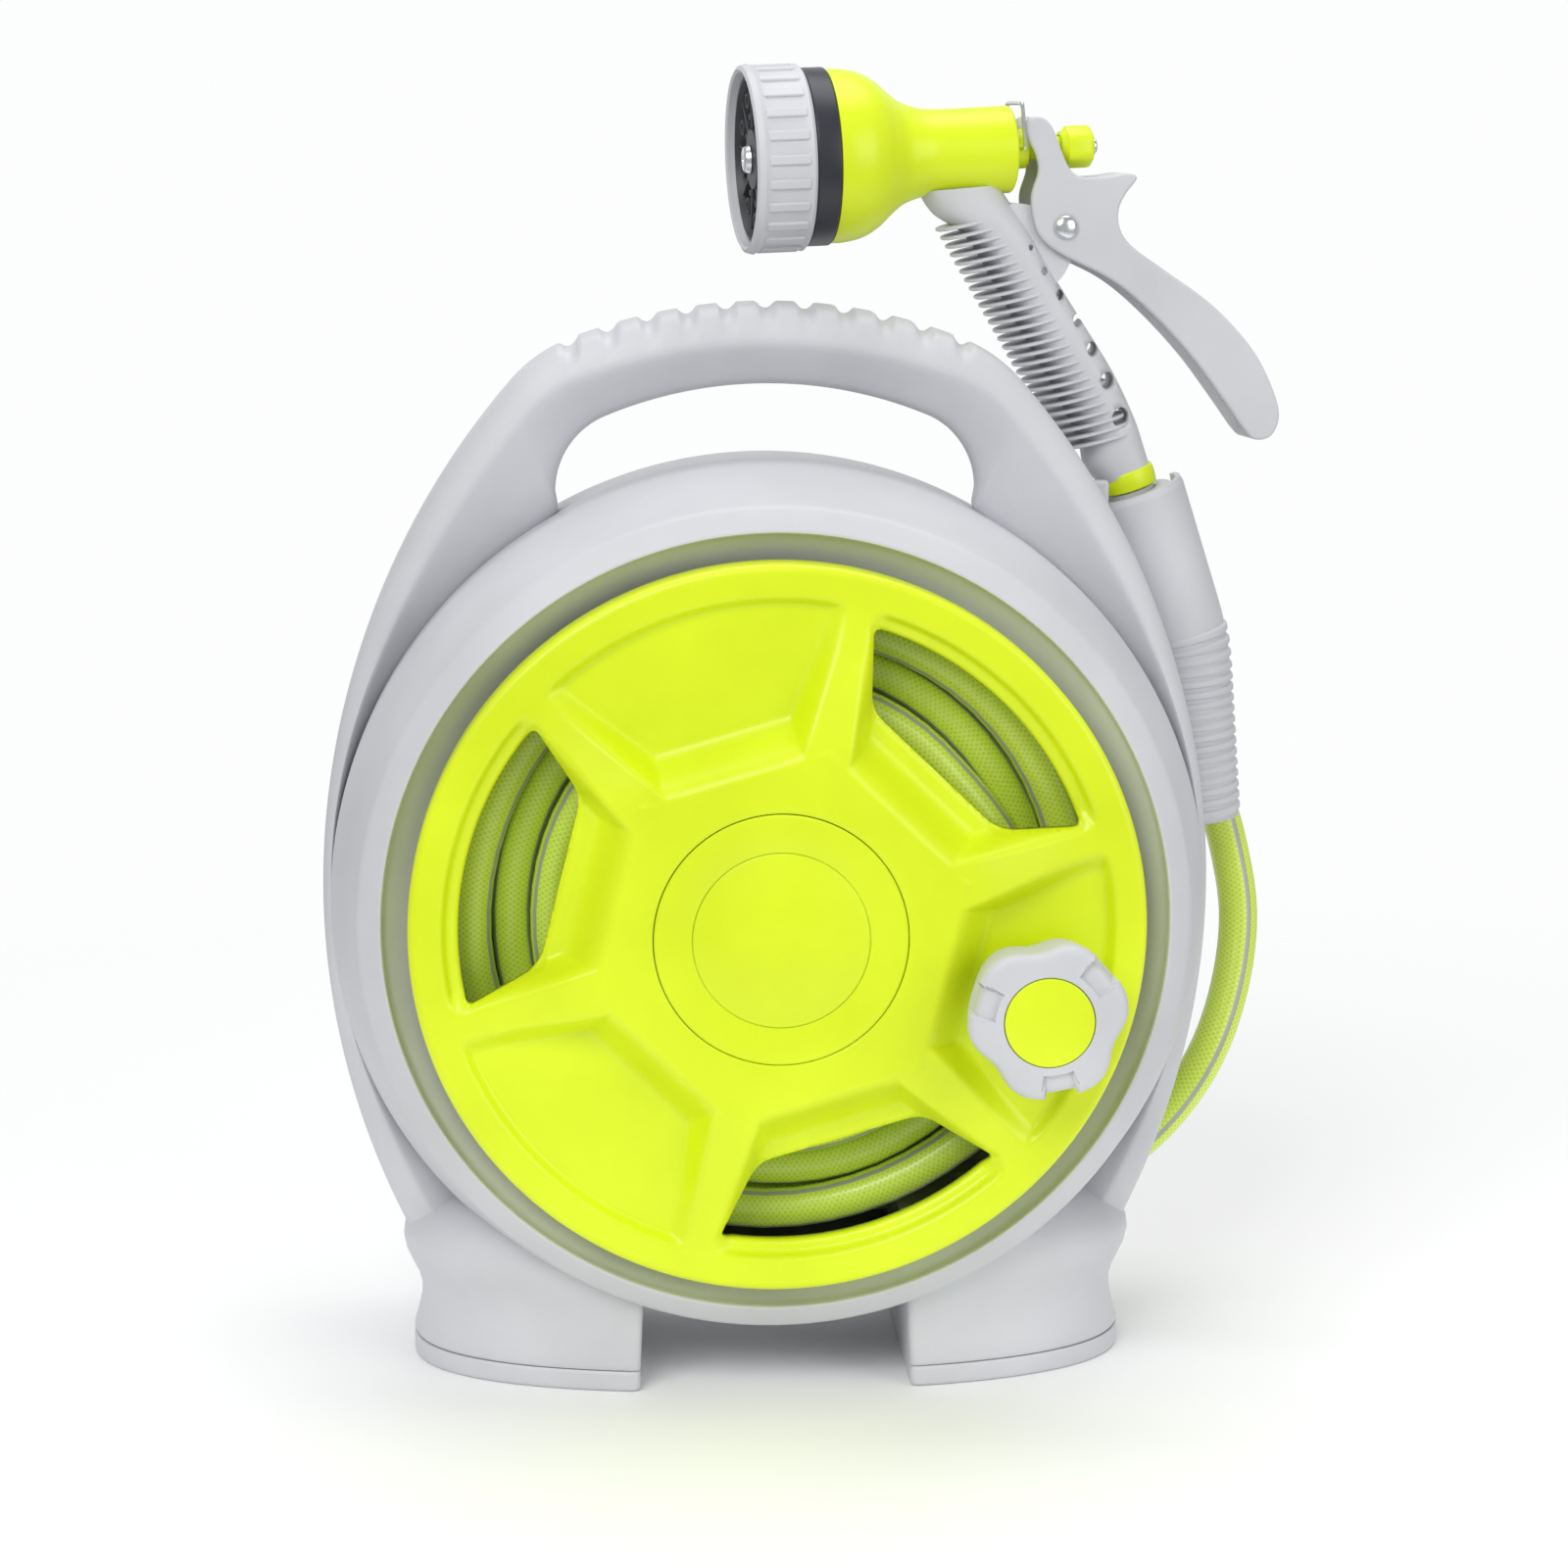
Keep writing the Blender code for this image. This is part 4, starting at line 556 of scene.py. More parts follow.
def lathe(profile, steps=180, axis="Y", at=(0, 0, 0), turn=None, ring=False):
    """Turned shape from pairs of radius and place along its axis."""
    spots = {"X": lambda c, s, h: (h, c, s), "Y": lambda c, s, h: (c, h, s), "Z": lambda c, s, h: (c, s, h)}
    spot = spots[axis]
    shape = bmesh.new()
    rows = []
    for radius, along in profile:
        if radius < 1e-7:
            rows.append([shape.verts.new(spot(0, 0, along))] * steps)
        else:
            rows.append([shape.verts.new(spot(radius * math.cos(2 * math.pi * i / steps),
                                              radius * math.sin(2 * math.pi * i / steps), along))
                         for i in range(steps)])
    pairs = list(zip(rows, rows[1:]))
    if ring:
        pairs.append((rows[-1], rows[0]))
    for a, b in pairs:
        for i in range(steps):
            j = (i + 1) % steps
            corners = []
            for vert in (a[i], a[j], b[j], b[i]):
                if vert not in corners:
                    corners.append(vert)
            if len(corners) > 2:
                shape.faces.new(corners)
    if turn is not None:
        bmesh.ops.transform(shape, matrix=turn, verts=shape.verts)
    bmesh.ops.translate(shape, vec=Vector(at), verts=shape.verts)
    return shape


def rounded(profile, radius, steps=4):
    """The profile with each corner replaced by a small arc; the corners are pairs in metres."""
    points = []
    for i, corner in enumerate(profile):
        if i in (0, len(profile) - 1):
            points.append(tuple(corner))
            continue
        here = Vector(corner)
        back = Vector(profile[i - 1]) - here
        on = Vector(profile[i + 1]) - here
        cut = min(radius, back.length * 0.45, on.length * 0.45)
        start = here + back.normalized() * cut
        end = here + on.normalized() * cut
        for k in range(steps + 1):
            t = k / steps
            points.append(tuple(start.lerp(here, t).lerp(here.lerp(end, t), t)))
    return points


def fused(shapes):
    """Several closed shapes in one mesh."""
    whole = bmesh.new()
    for shape in shapes:
        bmesh.ops.remove_doubles(shape, verts=shape.verts, dist=1e-7)
        bmesh.ops.recalc_face_normals(shape, faces=shape.faces)
        scratch = bpy.data.meshes.new("scratch")
        shape.to_mesh(scratch)
        shape.free()
        whole.from_mesh(scratch)
        bpy.data.meshes.remove(scratch)
    return whole


foot_inner = 40 * mm
foot_length = 108.5 * mm
foot_depth = 52.5 * mm
foot_roundness = 2.4
sole_top = 6.3 * mm


def foot_ring(side, hand, growth, z, inner_shift=0.0, overlap=0.15 * mm):
    """Plan of one foot's front or back half at height z, with its inner corner eased."""
    length = foot_length * growth
    depth = foot_depth * growth
    inside = foot_inner + inner_shift
    ease = 3 * mm

    def rim(x):
        return depth * (1 - (x / length) ** foot_roundness) ** (1 / foot_roundness)

    first = Vector((inside, rim(inside) - ease))
    peak = Vector((inside, rim(inside)))
    after = Vector((inside + ease, rim(inside + ease)))
    ring = [(inside, overlap)]
    for k in range(6):
        t = k / 6
        ring.append(tuple(first.lerp(peak, t).lerp(peak.lerp(after, t), t)))
    start = math.acos(((inside + ease) / length) ** (foot_roundness / 2))
    for i in range(33):
        angle = start * (1 - i / 32)
        ring.append((length * math.cos(angle) ** (2 / foot_roundness),
                     max(depth * abs(math.sin(angle)) ** (2 / foot_roundness), overlap)))
    return [Vector((hand * x, side * y, z)) + Vector((drum_at.x, drum_at.y, 0)) for x, y in ring]


def lofted(rings):
    shape = bmesh.new()
    rows = [[shape.verts.new(p) for p in ring] for ring in rings]
    count = len(rows[0])
    for a, b in zip(rows, rows[1:]):
        for i in range(count):
            j = (i + 1) % count
            shape.faces.new((a[i], a[j], b[j], b[i]))
    shape.faces.new(rows[0])
    shape.faces.new(rows[-1])
    return shape


# height above the sole, growth of the plan: a straight skirt, a soft waist and a rounded shoulder
foot_levels = [(0.0, 0.988), (0.5, 0.992), (1.2, 0.995), (5, 0.985), (10, 0.974), (15, 0.972), (19, 0.982),
               (23, 1.0), (26.5, 1.015), (30, 1.022), (33, 1.018), (36, 1.0), (38.5, 0.975), (40.5, 0.945),
               (42.5, 0.905), (44, 0.86), (44.8, 0.80)]


def foot_shell(side, hand):
    return lofted([foot_ring(side, hand, growth, sole_top + level * mm, inner_shift=-level * 0.05 * mm)
                   for level, growth in foot_levels])


front_ring = rounded([(shell_r - 3 * mm, -0.15 * mm), (shell_r, -0.15 * mm), (shell_r, -22 * mm),
                      (crease_r, -54 * mm),
                      (lip_r, -59.6 * mm), (lip_r - 0.4 * mm, -55.5 * mm), (101 * mm, -47 * mm),
                      (101 * mm, -45 * mm), (crease_r - 3 * mm, -44 * mm), (shell_r - 3 * mm, -20 * mm),
                      (shell_r - 3 * mm, -0.15 * mm)], 1.6 * mm)
front_case = finish_shape("case_front_moulding", fused(
    [lathe(front_ring[:-1], 240, "Y", drum_at, ring=True), frame_shell(-1, 1.0), foot_shell(-1, -1),
     foot_shell(-1, 1)]),
    recalculate=False, sharp=42)
front_case.data.materials.append(grey_paint)
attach(front_case, "case")
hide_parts("front_housing")

boss_r = 26 * mm
rear_ring = rounded([(shell_r - 3 * mm, 0.15 * mm), (shell_r, 0.15 * mm), (shell_r, 22 * mm),
                     (crease_r, 54 * mm), (crease_r - 5 * mm, 58.5 * mm), (crease_r - 9 * mm, 58.3 * mm),
                     (crease_r - 9.6 * mm, 49 * mm),
                     (boss_r + 1 * mm, 49 * mm), (boss_r, 57 * mm), (14.3 * mm, 57 * mm),
                     (14.3 * mm, 40 * mm),
                     (20 * mm, 40 * mm), (20 * mm, 46 * mm), (crease_r - 4 * mm, 46 * mm),
                     (shell_r - 3 * mm, 19 * mm), (shell_r - 3 * mm, 0.15 * mm)], 1.4 * mm)
rear_case = finish_shape("case_rear_moulding", fused(
    [lathe(rear_ring[:-1], 240, "Y", drum_at, ring=True), frame_shell(1, 0.93), foot_shell(1, -1),
     foot_shell(1, 1)]),
    recalculate=False, sharp=42)


def block(name, low, high):
    """Hidden box for cutting."""
    shape = bmesh.new()
    bmesh.ops.create_cube(shape, size=1)
    size = Vector(high) - Vector(low)
    middle = (Vector(high) + Vector(low)) / 2
    for vert in shape.verts:
        vert.co = Vector((vert.co.x * size.x, vert.co.y * size.y, vert.co.z * size.z)) + middle
    tool = finish_shape(name, shape)
    return tool


def cut_away(item, tools):
    """Cut closed tools out of a piece, then drop the tools."""
    for tool in tools:
        step = item.modifiers.new("cut", "BOOLEAN")
        step.operation = "DIFFERENCE"
        step.solver = "MANIFOLD"
        step.object = tool
    settle(item)
    for tool in tools:
        data = tool.data
        bpy.data.objects.remove(tool)
        bpy.data.meshes.remove(data)
    return item


def settle(item):
    """Turn a piece and its modifiers into a plain mesh."""
    tree = bpy.context.evaluated_depsgraph_get()
    tree.update()
    made = bpy.data.meshes.new_from_object(item.evaluated_get(tree))
    old = item.data
    item.modifiers.clear()
    item.data = made
    made.name = item.name
    bpy.data.meshes.remove(old)
    return item


lead_slot = block("lead_slot", (30 * mm - 13 * mm, 13.5 * mm + 9.3 * mm, 33 * mm),
                  (135 * mm - 13 * mm, 28.5 * mm + 9.3 * mm, 78 * mm))
cut_away(rear_case, [lead_slot])
rear_case.data.materials.clear()
rear_case.data.materials.append(grey_paint)
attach(rear_case, "case")
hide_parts("rear_housing")

# ------------------------------------------------------------ drum
# The drum's face is one lime moulding: a flat rim, a raised six-armed star round the hub,
# three shallow panels and three windows that show the hose. A loose disc caps the hub.
rim_r = 106 * mm
rim_y = -68.5 * mm
panel_y = -65.3 * mm
star_y = -77.6 * mm
plate_back_y = -56 * mm
window_outer_r = 91.7 * mm
window_chord = 64.2 * mm
window_half_chord = 25.3 * mm
window_side = math.radians(27)
window_at = math.radians(46)
cap_r = 36.2 * mm


def ease(low, high, value):
    t = min(max((value - low) / (high - low), 0.0), 1.0)
    return t * t * (3 - 2 * t)


def to_window(x, z):
    """Distance outside the nearest window's edge, negative inside it."""
    radius = math.hypot(x, z)
    near = min(((math.atan2(z, x) - window_at - k * math.tau / 3 + math.pi) % math.tau - math.pi
                for k in range(3)), key=abs)
    u = radius * math.cos(near)
    v = abs(radius * math.sin(near))
    end = Vector((window_outer_r * math.cos(window_side), window_outer_r * math.sin(window_side)))
    start = Vector((window_chord, window_half_chord))
    run = (end - start).normalized()
    side = (v - start.y) * run.x - (u - start.x) * run.y
    return max(window_chord - u, radius - window_outer_r, side)


def face_height(x, z):
    """Front of the drum's face at a place round its axis."""
    radius = math.hypot(x, z)
    angle = math.atan2(z, x)
    sector = (angle - window_at + math.pi / 6) % (math.pi / 3) - math.pi / 6
    apothem = radius * math.cos(sector)
    high = 1 - ease(47 * mm, 60 * mm, apothem)
    arm_turn = (angle - window_at) % (math.pi / 3) - math.pi / 6
    along = radius * math.cos(arm_turn)
    across = abs(radius * math.sin(arm_turn))
    half = 8.5 * mm - 3.0 * mm * ease(50 * mm, 92 * mm, along)
    body = 1 - ease(half - 2.5 * mm, half + 4.5 * mm, across)
    drop = 1 - 0.74 * ease(48 * mm, 98 * mm, along)
    arm = body * drop * (1 if along > 0 else 0)
    share = max(high, arm) + 0.22 * min(high, arm) * (1 - max(high, arm))
    height = panel_y + (star_y - panel_y) * share
    rim = ease(94.3 * mm, 97.0 * mm, radius)
    height += (rim_y - height) * rim
    edge = to_window(x, z)
    height += 1.1 * mm * (1 - ease(0, 1.3 * mm, edge))
    outer = radius - (rim_r - 2.2 * mm)
    if outer > 0:
        height += 2.2 * mm * (1 - math.sqrt(max(0.0, 1 - (outer / (2.2 * mm)) ** 2)))
    return height


def window_corners(index):
    """Rounded outline of one window."""
    end = (window_outer_r * math.cos(window_side), window_outer_r * math.sin(window_side))
    corners = [(window_chord, -window_half_chord), (end[0], -end[1])]
    corners += [(window_outer_r * math.cos(a), window_outer_r * math.sin(a))
                for a in [window_side * (k / 12 - 1) for k in range(1, 24)]]
    corners += [end, (window_chord, window_half_chord)]
    radii = [5 * mm, 2.6 * mm] + [0] * 23 + [2.6 * mm, 5 * mm]
    outline = []
    count = len(corners)
    for i, radius in enumerate(radii):
        here = Vector(corners[i])
        if radius == 0:
            if min(i - 1, count - 2 - i) > 1:
                outline.append(here)
            continue
        back = (Vector(corners[i - 1]) - here).normalized() * radius
        on = (Vector(corners[(i + 1) % count]) - here).normalized() * radius
        for k in range(7):
            t = k / 6
            outline.append((here + back * (1 - t) ** 2) + on * t * t)
    turn = window_at + index * math.tau / 3
    return [(p.x * math.cos(turn) - p.y * math.sin(turn), p.x * math.sin(turn) + p.y * math.cos(turn))
            for p in outline]


def drum_face():
    steps = 600
    radii = [36.5 * mm + (104.6 - 36.5) * mm * i / 84 for i in range(85)] + [105.2 * mm, 105.6 * mm,
        105.85 * mm, rim_r]
    shape = bmesh.new()
    directions = [(math.cos(math.tau * i / steps), math.sin(math.tau * i / steps)) for i in range(steps)]
    rows = []
    for radius, y in ((0.5 * mm, -75.2 * mm), (36.5 * mm, -75.2 * mm), (36.5 * mm, star_y + 0.35 * mm)):
        rows.append([shape.verts.new((radius * c, y, radius * s)) for c, s in directions])
    for radius in radii[1:]:
        rows.append([shape.verts.new((radius * c, face_height(radius * c, radius * s), radius * s))
                     for c, s in directions])
    for radius, y in ((rim_r, plate_back_y), (rim_r - 2.5 * mm, plate_back_y),
                      (rim_r - 2.8 * mm, -62 * mm)):
        rows.append([shape.verts.new((radius * c, y, radius * s)) for c, s in directions])
    for radius in (97 * mm, 92.2 * mm, 88 * mm, 82 * mm, 76 * mm, 70 * mm, 63.5 * mm, 58 * mm, 52 * mm,
                   46 * mm):
        rows.append([shape.verts.new((radius * c,
                                      max(face_height(radius * c, radius * s), -71 * mm) + 3.4 * mm,
                                      radius * s)) for c, s in directions])
    rows.append([shape.verts.new((0.5 * mm * c, -67.6 * mm, 0.5 * mm * s)) for c, s in directions])
    for a, b in zip(rows, rows[1:]):
        for i in range(steps):
            j = (i + 1) % steps
            shape.faces.new((a[i], a[j], b[j], b[i]))
    shape.faces.new(rows[0])
    shape.faces.new(rows[-1])
    bmesh.ops.translate(shape, vec=drum_at, verts=shape.verts)
    return shape


def slab(outline, front, back, at=(0, 0, 0)):
    """Straight-sided solid from an outline in X and Z."""
    return lofted([[Vector((x, y, z)) + Vector(at) for x, z in outline] for y in (front, back)])


plate = finish_shape("drum_face", drum_face(), sharp=48)
cut_away(plate, [finish_shape(f"window_tool_{i}", slab(window_corners(i), -95 * mm, -40 * mm, drum_at))
                 for i in range(3)])
plate.data.materials.clear()
plate.data.materials.append(lime_paint)
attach(plate, "drum")
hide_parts("drum_front_plate")

cap_profile = [(0, -75.4 * mm), (cap_r - 0.3 * mm, -75.4 * mm), (cap_r, -75.9 * mm), (cap_r, -77.6 * mm),
               (cap_r - 0.5 * mm, -78.1 * mm), (25.75 * mm, -78.2 * mm), (25.5 * mm, -78.1 * mm),
               (25.4 * mm, -77.6 * mm), (25.2 * mm, -77.6 * mm), (25.1 * mm, -78.1 * mm),
               (24.8 * mm, -78.25 * mm), (0, -78.4 * mm)]
hub_cap = finish_shape("drum_hub_cap", lathe(cap_profile, 180, "Y", drum_at), sharp=40)
hub_cap.data.materials.append(lime_paint)
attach(hub_cap, "drum")
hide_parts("hub_cap")

# ------------------------------------------------------------ crank knob
# Grey moulding with three scallops and three notched corners, turning on a steel spindle in
# the drum's face. A flat lime disc snaps in over the spindle's head.
knob_spot = drum_at + Vector((76.5 * mm * math.cos(math.radians(-15)), 0,
                              76.5 * mm * math.sin(math.radians(-15))))
knob_r = 23.5 * mm
knob_back = -74.2 * mm
knob_cap_r = 12.7 * mm
knob_scallops = [math.radians(a) for a in (100, 220, -20)]
knob_notches = [math.radians(a) for a in (163, 42, -80)]


def knob_reach(angle):
    """Radius of the knob's edge, as a share of its largest radius."""
    reach = 1.0
    for centre in knob_scallops:
        off = (angle - centre + math.pi) % math.tau - math.pi
        reach -= 0.155 * math.exp(-(off / 0.36) ** 2)
    for centre in knob_notches:
        off = (angle - centre + math.pi) % math.tau - math.pi
        reach -= 0.045 * math.exp(-(off / 0.34) ** 2)
    return reach


def knob_shape():
    steps = 288
    shape = bmesh.new()
    levels = [(0.0, 0.40, knob_back), (0.80, 1.0, knob_back), (0.86, 1.0, knob_back - 0.8 * mm),
              (0.895, 1.0, -78 * mm),
              (0.935, 1.0, -84 * mm), (0.97, 1.0, -90 * mm), (0.99, 1.0, -94.5 * mm),
              (0.995, 1.0, -96.6 * mm),
              (0.985, 1.0, -97.9 * mm), (0.96, 1.0, -98.8 * mm), (0.92, 1.0, -99.3 * mm),
              (0.86, 1.0, -99.55 * mm),
              (0.76, 0.9, -99.7 * mm), (0.66, 0.5, -99.9 * mm), (0.60, 0.15, -100 * mm)]
    rows = []
    for share, follow, y in levels:
        row = []
        for i in range(steps):
            angle = math.tau * i / steps
            edge = 1 + (knob_reach(angle) - 1) * follow
            radius = knob_r * max(share, 0.18) * edge
            depth = y
            for centre in knob_notches:
                off = abs((angle - centre + math.pi) % math.tau - math.pi) * radius
                if off < 4.6 * mm and radius > 17.4 * mm * edge and y < -90 * mm:
                    radius -= 1.5 * mm
                    depth = max(y + 1.3 * mm, -98.6 * mm)
            row.append(shape.verts.new((radius * math.cos(angle), depth, radius * math.sin(angle))))
        rows.append(row)
    for radius, y in ((knob_cap_r + 0.5 * mm, -100 * mm), (knob_cap_r + 0.25 * mm, -99.8 * mm),
                      (knob_cap_r + 0.2 * mm, -97.6 * mm), (1 * mm, -97.6 * mm)):
        rows.append([shape.verts.new((radius * math.cos(math.tau * i / steps), y,
                                      radius * math.sin(math.tau * i / steps)))
                     for i in range(steps)])
    for a, b in zip(rows, rows[1:]):
        for i in range(steps):
            j = (i + 1) % steps
            shape.faces.new((a[i], a[j], b[j], b[i]))
    shape.faces.new(rows[0])
    shape.faces.new(rows[-1])
    bmesh.ops.translate(shape, vec=knob_spot, verts=shape.verts)
    return shape


knob = finish_shape("winding_knob", knob_shape(), sharp=38)
knob.data.materials.append(grey_paint)
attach(knob, "knob")
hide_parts("crank_knob")

knob_disc = finish_shape("winding_knob_cap", lathe(
    rounded([(0, -97.7 * mm), (knob_cap_r, -97.7 * mm), (knob_cap_r, -100.2 * mm), (0, -100.35 * mm)],
            0.5 * mm),
    96, "Y", knob_spot), sharp=40)
knob_disc.data.materials.append(lime_paint)
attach(knob_disc, "knob")
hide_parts("knob_cap")

# ------------------------------------------------------------ spray gun body
# One glossy lime moulding: bell at the front, straight neck behind. A black collar and a
# grey ribbed bezel sit on the bell, and the whole gun is turned a little to the front.
gun_at = Matrix.Translation((99.5 * mm, 39.3 * mm, 262 * mm)) @ Matrix.Rotation(math.radians(7.5), 4, "Z")
barrel_at = gun_at @ Matrix.Translation((-38 * mm, 0, 99.8 * mm)) @ Matrix.Rotation(-math.radians(2), 4,
    "Y")
pull_at = gun_at @ Matrix.Rotation(-math.radians(18), 4, "Y")
body_length = 56.5 * mm
neck_r = 13 * mm


def smooth_profile(pairs, per=8):
    """Flowing profile through pairs of radius and place."""
    knots = [Vector(p) for p in pairs]
    knots = [2 * knots[0] - knots[1]] + knots + [2 * knots[-1] - knots[-2]]
    points = []
    for a, b, c, d in zip(knots, knots[1:], knots[2:], knots[3:]):
        for i in range(per):
            t = i / per
            points.append(0.5 * ((2 * b) + (c - a) * t + (2 * a - 5 * b + 4 * c - d) * t * t
                                 + (3 * b - a - 3 * c + d) * t * t * t))
    points.append(knots[-2])
    return [tuple(p) for p in points]


def turned_piece(name, profile, steps, at, paint, ring=False, sharp=38):
    """Piece turned about the local X axis, set down by a matrix."""
    item = finish_shape(name, lathe(profile, steps, "X", turn=at, ring=ring), sharp=sharp)
    item.data.materials.append(paint)
    return item


bell = smooth_profile(in_mm([(25.7, -56.4), (25.6, -52.0), (24.4, -46.5), (21.8, -41.8), (18.3, -37.8),
                             (15.4, -34.0), (13.8, -30.0), (12.9, -26.0), (12.7, -20.0)]))
neck = rounded([(12.7 * mm, -20 * mm), (neck_r, -0.6 * mm), (12.4 * mm, 0), (6.0 * mm, 0),
                (5.8 * mm, 5 * mm), (3.8 * mm, 5 * mm), (3.8 * mm, -2 * mm), (0, -2 * mm)], 0.7 * mm)
gun_body = turned_piece("gun_body", [(0, -body_length), (25.4 * mm, -body_length)] + bell + neck[1:], 128,
                        barrel_at, lime_paint)
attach(gun_body, "gun")
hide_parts("gun_barrel")

band_front = -body_length - 7.3 * mm
band = turned_piece("gun_black_collar",
                    rounded([(0, -body_length - 0.3 * mm), (26.3 * mm, -body_length - 0.3 * mm),
                                                 (26.3 * mm, band_front), (0, band_front)], 0.5 * mm),
                    128, barrel_at, black_paint)
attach(band, "gun")
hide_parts("index_band")

# ------------------------------------------------------------ dial: bezel, nozzle disc and screw
# The grey bezel has twenty-four grip ribs and turns freely to choose a spray. Its dark disc
# carries rings of jets round one steel screw.


def pattern_tree(name, ring):
    """Copies of one piece: round a circle about X, or along a straight line."""
    tree = bpy.data.node_groups.new(name, "GeometryNodeTree")
    wanted = [("Piece", "INPUT", "NodeSocketObject"), ("Count", "INPUT", "NodeSocketInt"),
              ("Radius", "INPUT", "NodeSocketFloat"), ("Step", "INPUT", "NodeSocketVector"),
              ("Paint", "INPUT", "NodeSocketMaterial"), ("Geometry", "OUTPUT", "NodeSocketGeometry")]
    for label, way, kind in wanted:
        tree.interface.new_socket(label, in_out=way, socket_type=kind)
    nodes = tree.nodes
    links = tree.links
    group_in = nodes.new("NodeGroupInput")
    group_out = nodes.new("NodeGroupOutput")
    info = nodes.new("GeometryNodeObjectInfo")
    info.transform_space = "ORIGINAL"
    links.new(group_in.outputs["Piece"], info.inputs["Object"])
    scatter = nodes.new("GeometryNodeInstanceOnPoints")
    links.new(info.outputs["Geometry"], scatter.inputs["Instance"])
    if ring:
        points = nodes.new("GeometryNodeMeshCircle")
        links.new(group_in.outputs["Count"], points.inputs["Vertices"])
        links.new(group_in.outputs["Radius"], points.inputs["Radius"])
        index = nodes.new("GeometryNodeInputIndex")
        share = nodes.new("ShaderNodeMath")
        share.operation = "DIVIDE"
        links.new(index.outputs[0], share.inputs[0])
        links.new(group_in.outputs["Count"], share.inputs[1])
        turn = nodes.new("ShaderNodeMath")
        turn.operation = "MULTIPLY"
        turn.inputs[1].default_value = math.tau
        links.new(share.outputs[0], turn.inputs[0])
        about = nodes.new("ShaderNodeCombineXYZ")
        links.new(turn.outputs[0], about.inputs["Z"])
        links.new(about.outputs[0], scatter.inputs["Rotation"])
    else:
        points = nodes.new("GeometryNodeMeshLine")
        links.new(group_in.outputs["Count"], points.inputs["Count"])
        links.new(group_in.outputs["Step"], points.inputs["Offset"])
    links.new(points.outputs[0], scatter.inputs["Points"])
    real = nodes.new("GeometryNodeRealizeInstances")
    links.new(scatter.outputs[0], real.inputs[0])
    cover = nodes.new("GeometryNodeSetMaterial")
    links.new(real.outputs[0], cover.inputs["Geometry"])
    links.new(group_in.outputs["Paint"], cover.inputs["Material"])
    links.new(cover.outputs[0], group_out.inputs[0])
    return tree


ring_pattern = pattern_tree("ring_pattern", True)
row_pattern = pattern_tree("row_pattern", False)


def repeat(name, tree, piece, paint, at, count, radius=0.0, step=(0, 0, 0)):
    """Plain mesh of one piece repeated by a pattern, then set down by a matrix."""
    data = bpy.data.meshes.new(name)
    item = bpy.data.objects.new(name, data)
    bpy.context.collection.objects.link(item)
    pattern = item.modifiers.new("pattern", "NODES")
    pattern.node_group = tree
    named = {socket.name: socket.identifier for socket in tree.interface.items_tree if socket.in_out == "INPUT"}
    pattern[named["Piece"]] = piece
    pattern[named["Count"]] = count
    pattern[named["Radius"]] = radius
    pattern[named["Step"]] = step
    pattern[named["Paint"]] = paint
    settle(item)
    old = piece.data
    bpy.data.objects.remove(piece)
    bpy.data.meshes.remove(old)
    item.data.transform(at)
    return item


def joined(name, items):
    """One object from several, materials kept."""
    with bpy.context.temp_override(active_object=items[0], selected_editable_objects=items,
                                   selected_objects=items):
        bpy.ops.object.join()
    items[0].name = name
    items[0].data.name = name
    return items[0]


dial_back = band_front - 0.3 * mm
dial_r = 28 * mm
bezel_ring = [(23.6 * mm, dial_back), (26.6 * mm, dial_back), (27.6 * mm, dial_back - 0.9 * mm),
              (27.3 * mm, dial_back - 2.2 * mm), (26.9 * mm, dial_back - 3.2 * mm),
              (26.9 * mm, dial_back - 13.2 * mm),
              (27.4 * mm, dial_back - 14.4 * mm), (dial_r, dial_back - 15.6 * mm),
              (27.5 * mm, dial_back - 17.4 * mm),
              (26.4 * mm, dial_back - 18 * mm), (25.6 * mm, dial_back - 17.4 * mm),
              (25.2 * mm, dial_back - 14 * mm), (23.5 * mm, dial_back - 9 * mm)]
bezel = turned_piece("dial_ring", bezel_ring, 144, barrel_at, grey_paint, ring=True, sharp=34)


def soft_block(name, size, bevel):
    """Small box with eased edges."""
    item = block(name, [-s / 2 for s in size], [s / 2 for s in size])
    step = item.modifiers.new("edges", "BEVEL")
    step.width = bevel
    step.segments = 2
    return settle(item)


rib = soft_block("rib", (1.9 * mm, 2.9 * mm, 12.4 * mm), 0.45 * mm)
ribs = repeat("dial_ribs", ring_pattern, rib, grey_paint,
              barrel_at @ Matrix.Translation((dial_back - 8.2 * mm, 0, 0)) @ Matrix.Rotation(math.pi / 2, 4,
                  "Y"),
              24, radius=26.75 * mm)
dial_piece = joined("dial_bezel_ribbed", [bezel, ribs])
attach(dial_piece, "dial")
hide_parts("dial_bezel")

plate_face = dial_back - 15.2 * mm
disc = turned_piece("nozzle_disc", [(0, dial_back - 1 * mm), (22.9 * mm, dial_back - 1 * mm),
                                    (23.2 * mm, dial_back - 8.8 * mm), (24.9 * mm, plate_face + 0.9 * mm),
                                    (24.3 * mm, plate_face - 0.2 * mm),
                                    (23.4 * mm, plate_face - 0.2 * mm), (22.4 * mm, plate_face + 3.2 * mm),
                                    (9.5 * mm, plate_face + 2.6 * mm),
                                    (8.8 * mm, plate_face + 0.4 * mm), (4.0 * mm, plate_face),
                                    (0, plate_face)],
                    96, barrel_at, dark_paint)
jet = finish_shape("jet", lathe(in_mm([(0, 1.6), (2.5, 1.6), (2.5, -1.2), (2.0, -1.6), (1.4, -1.5),
                                       (1.2, 0.4), (0, 0.4)]), 24, "Z"))
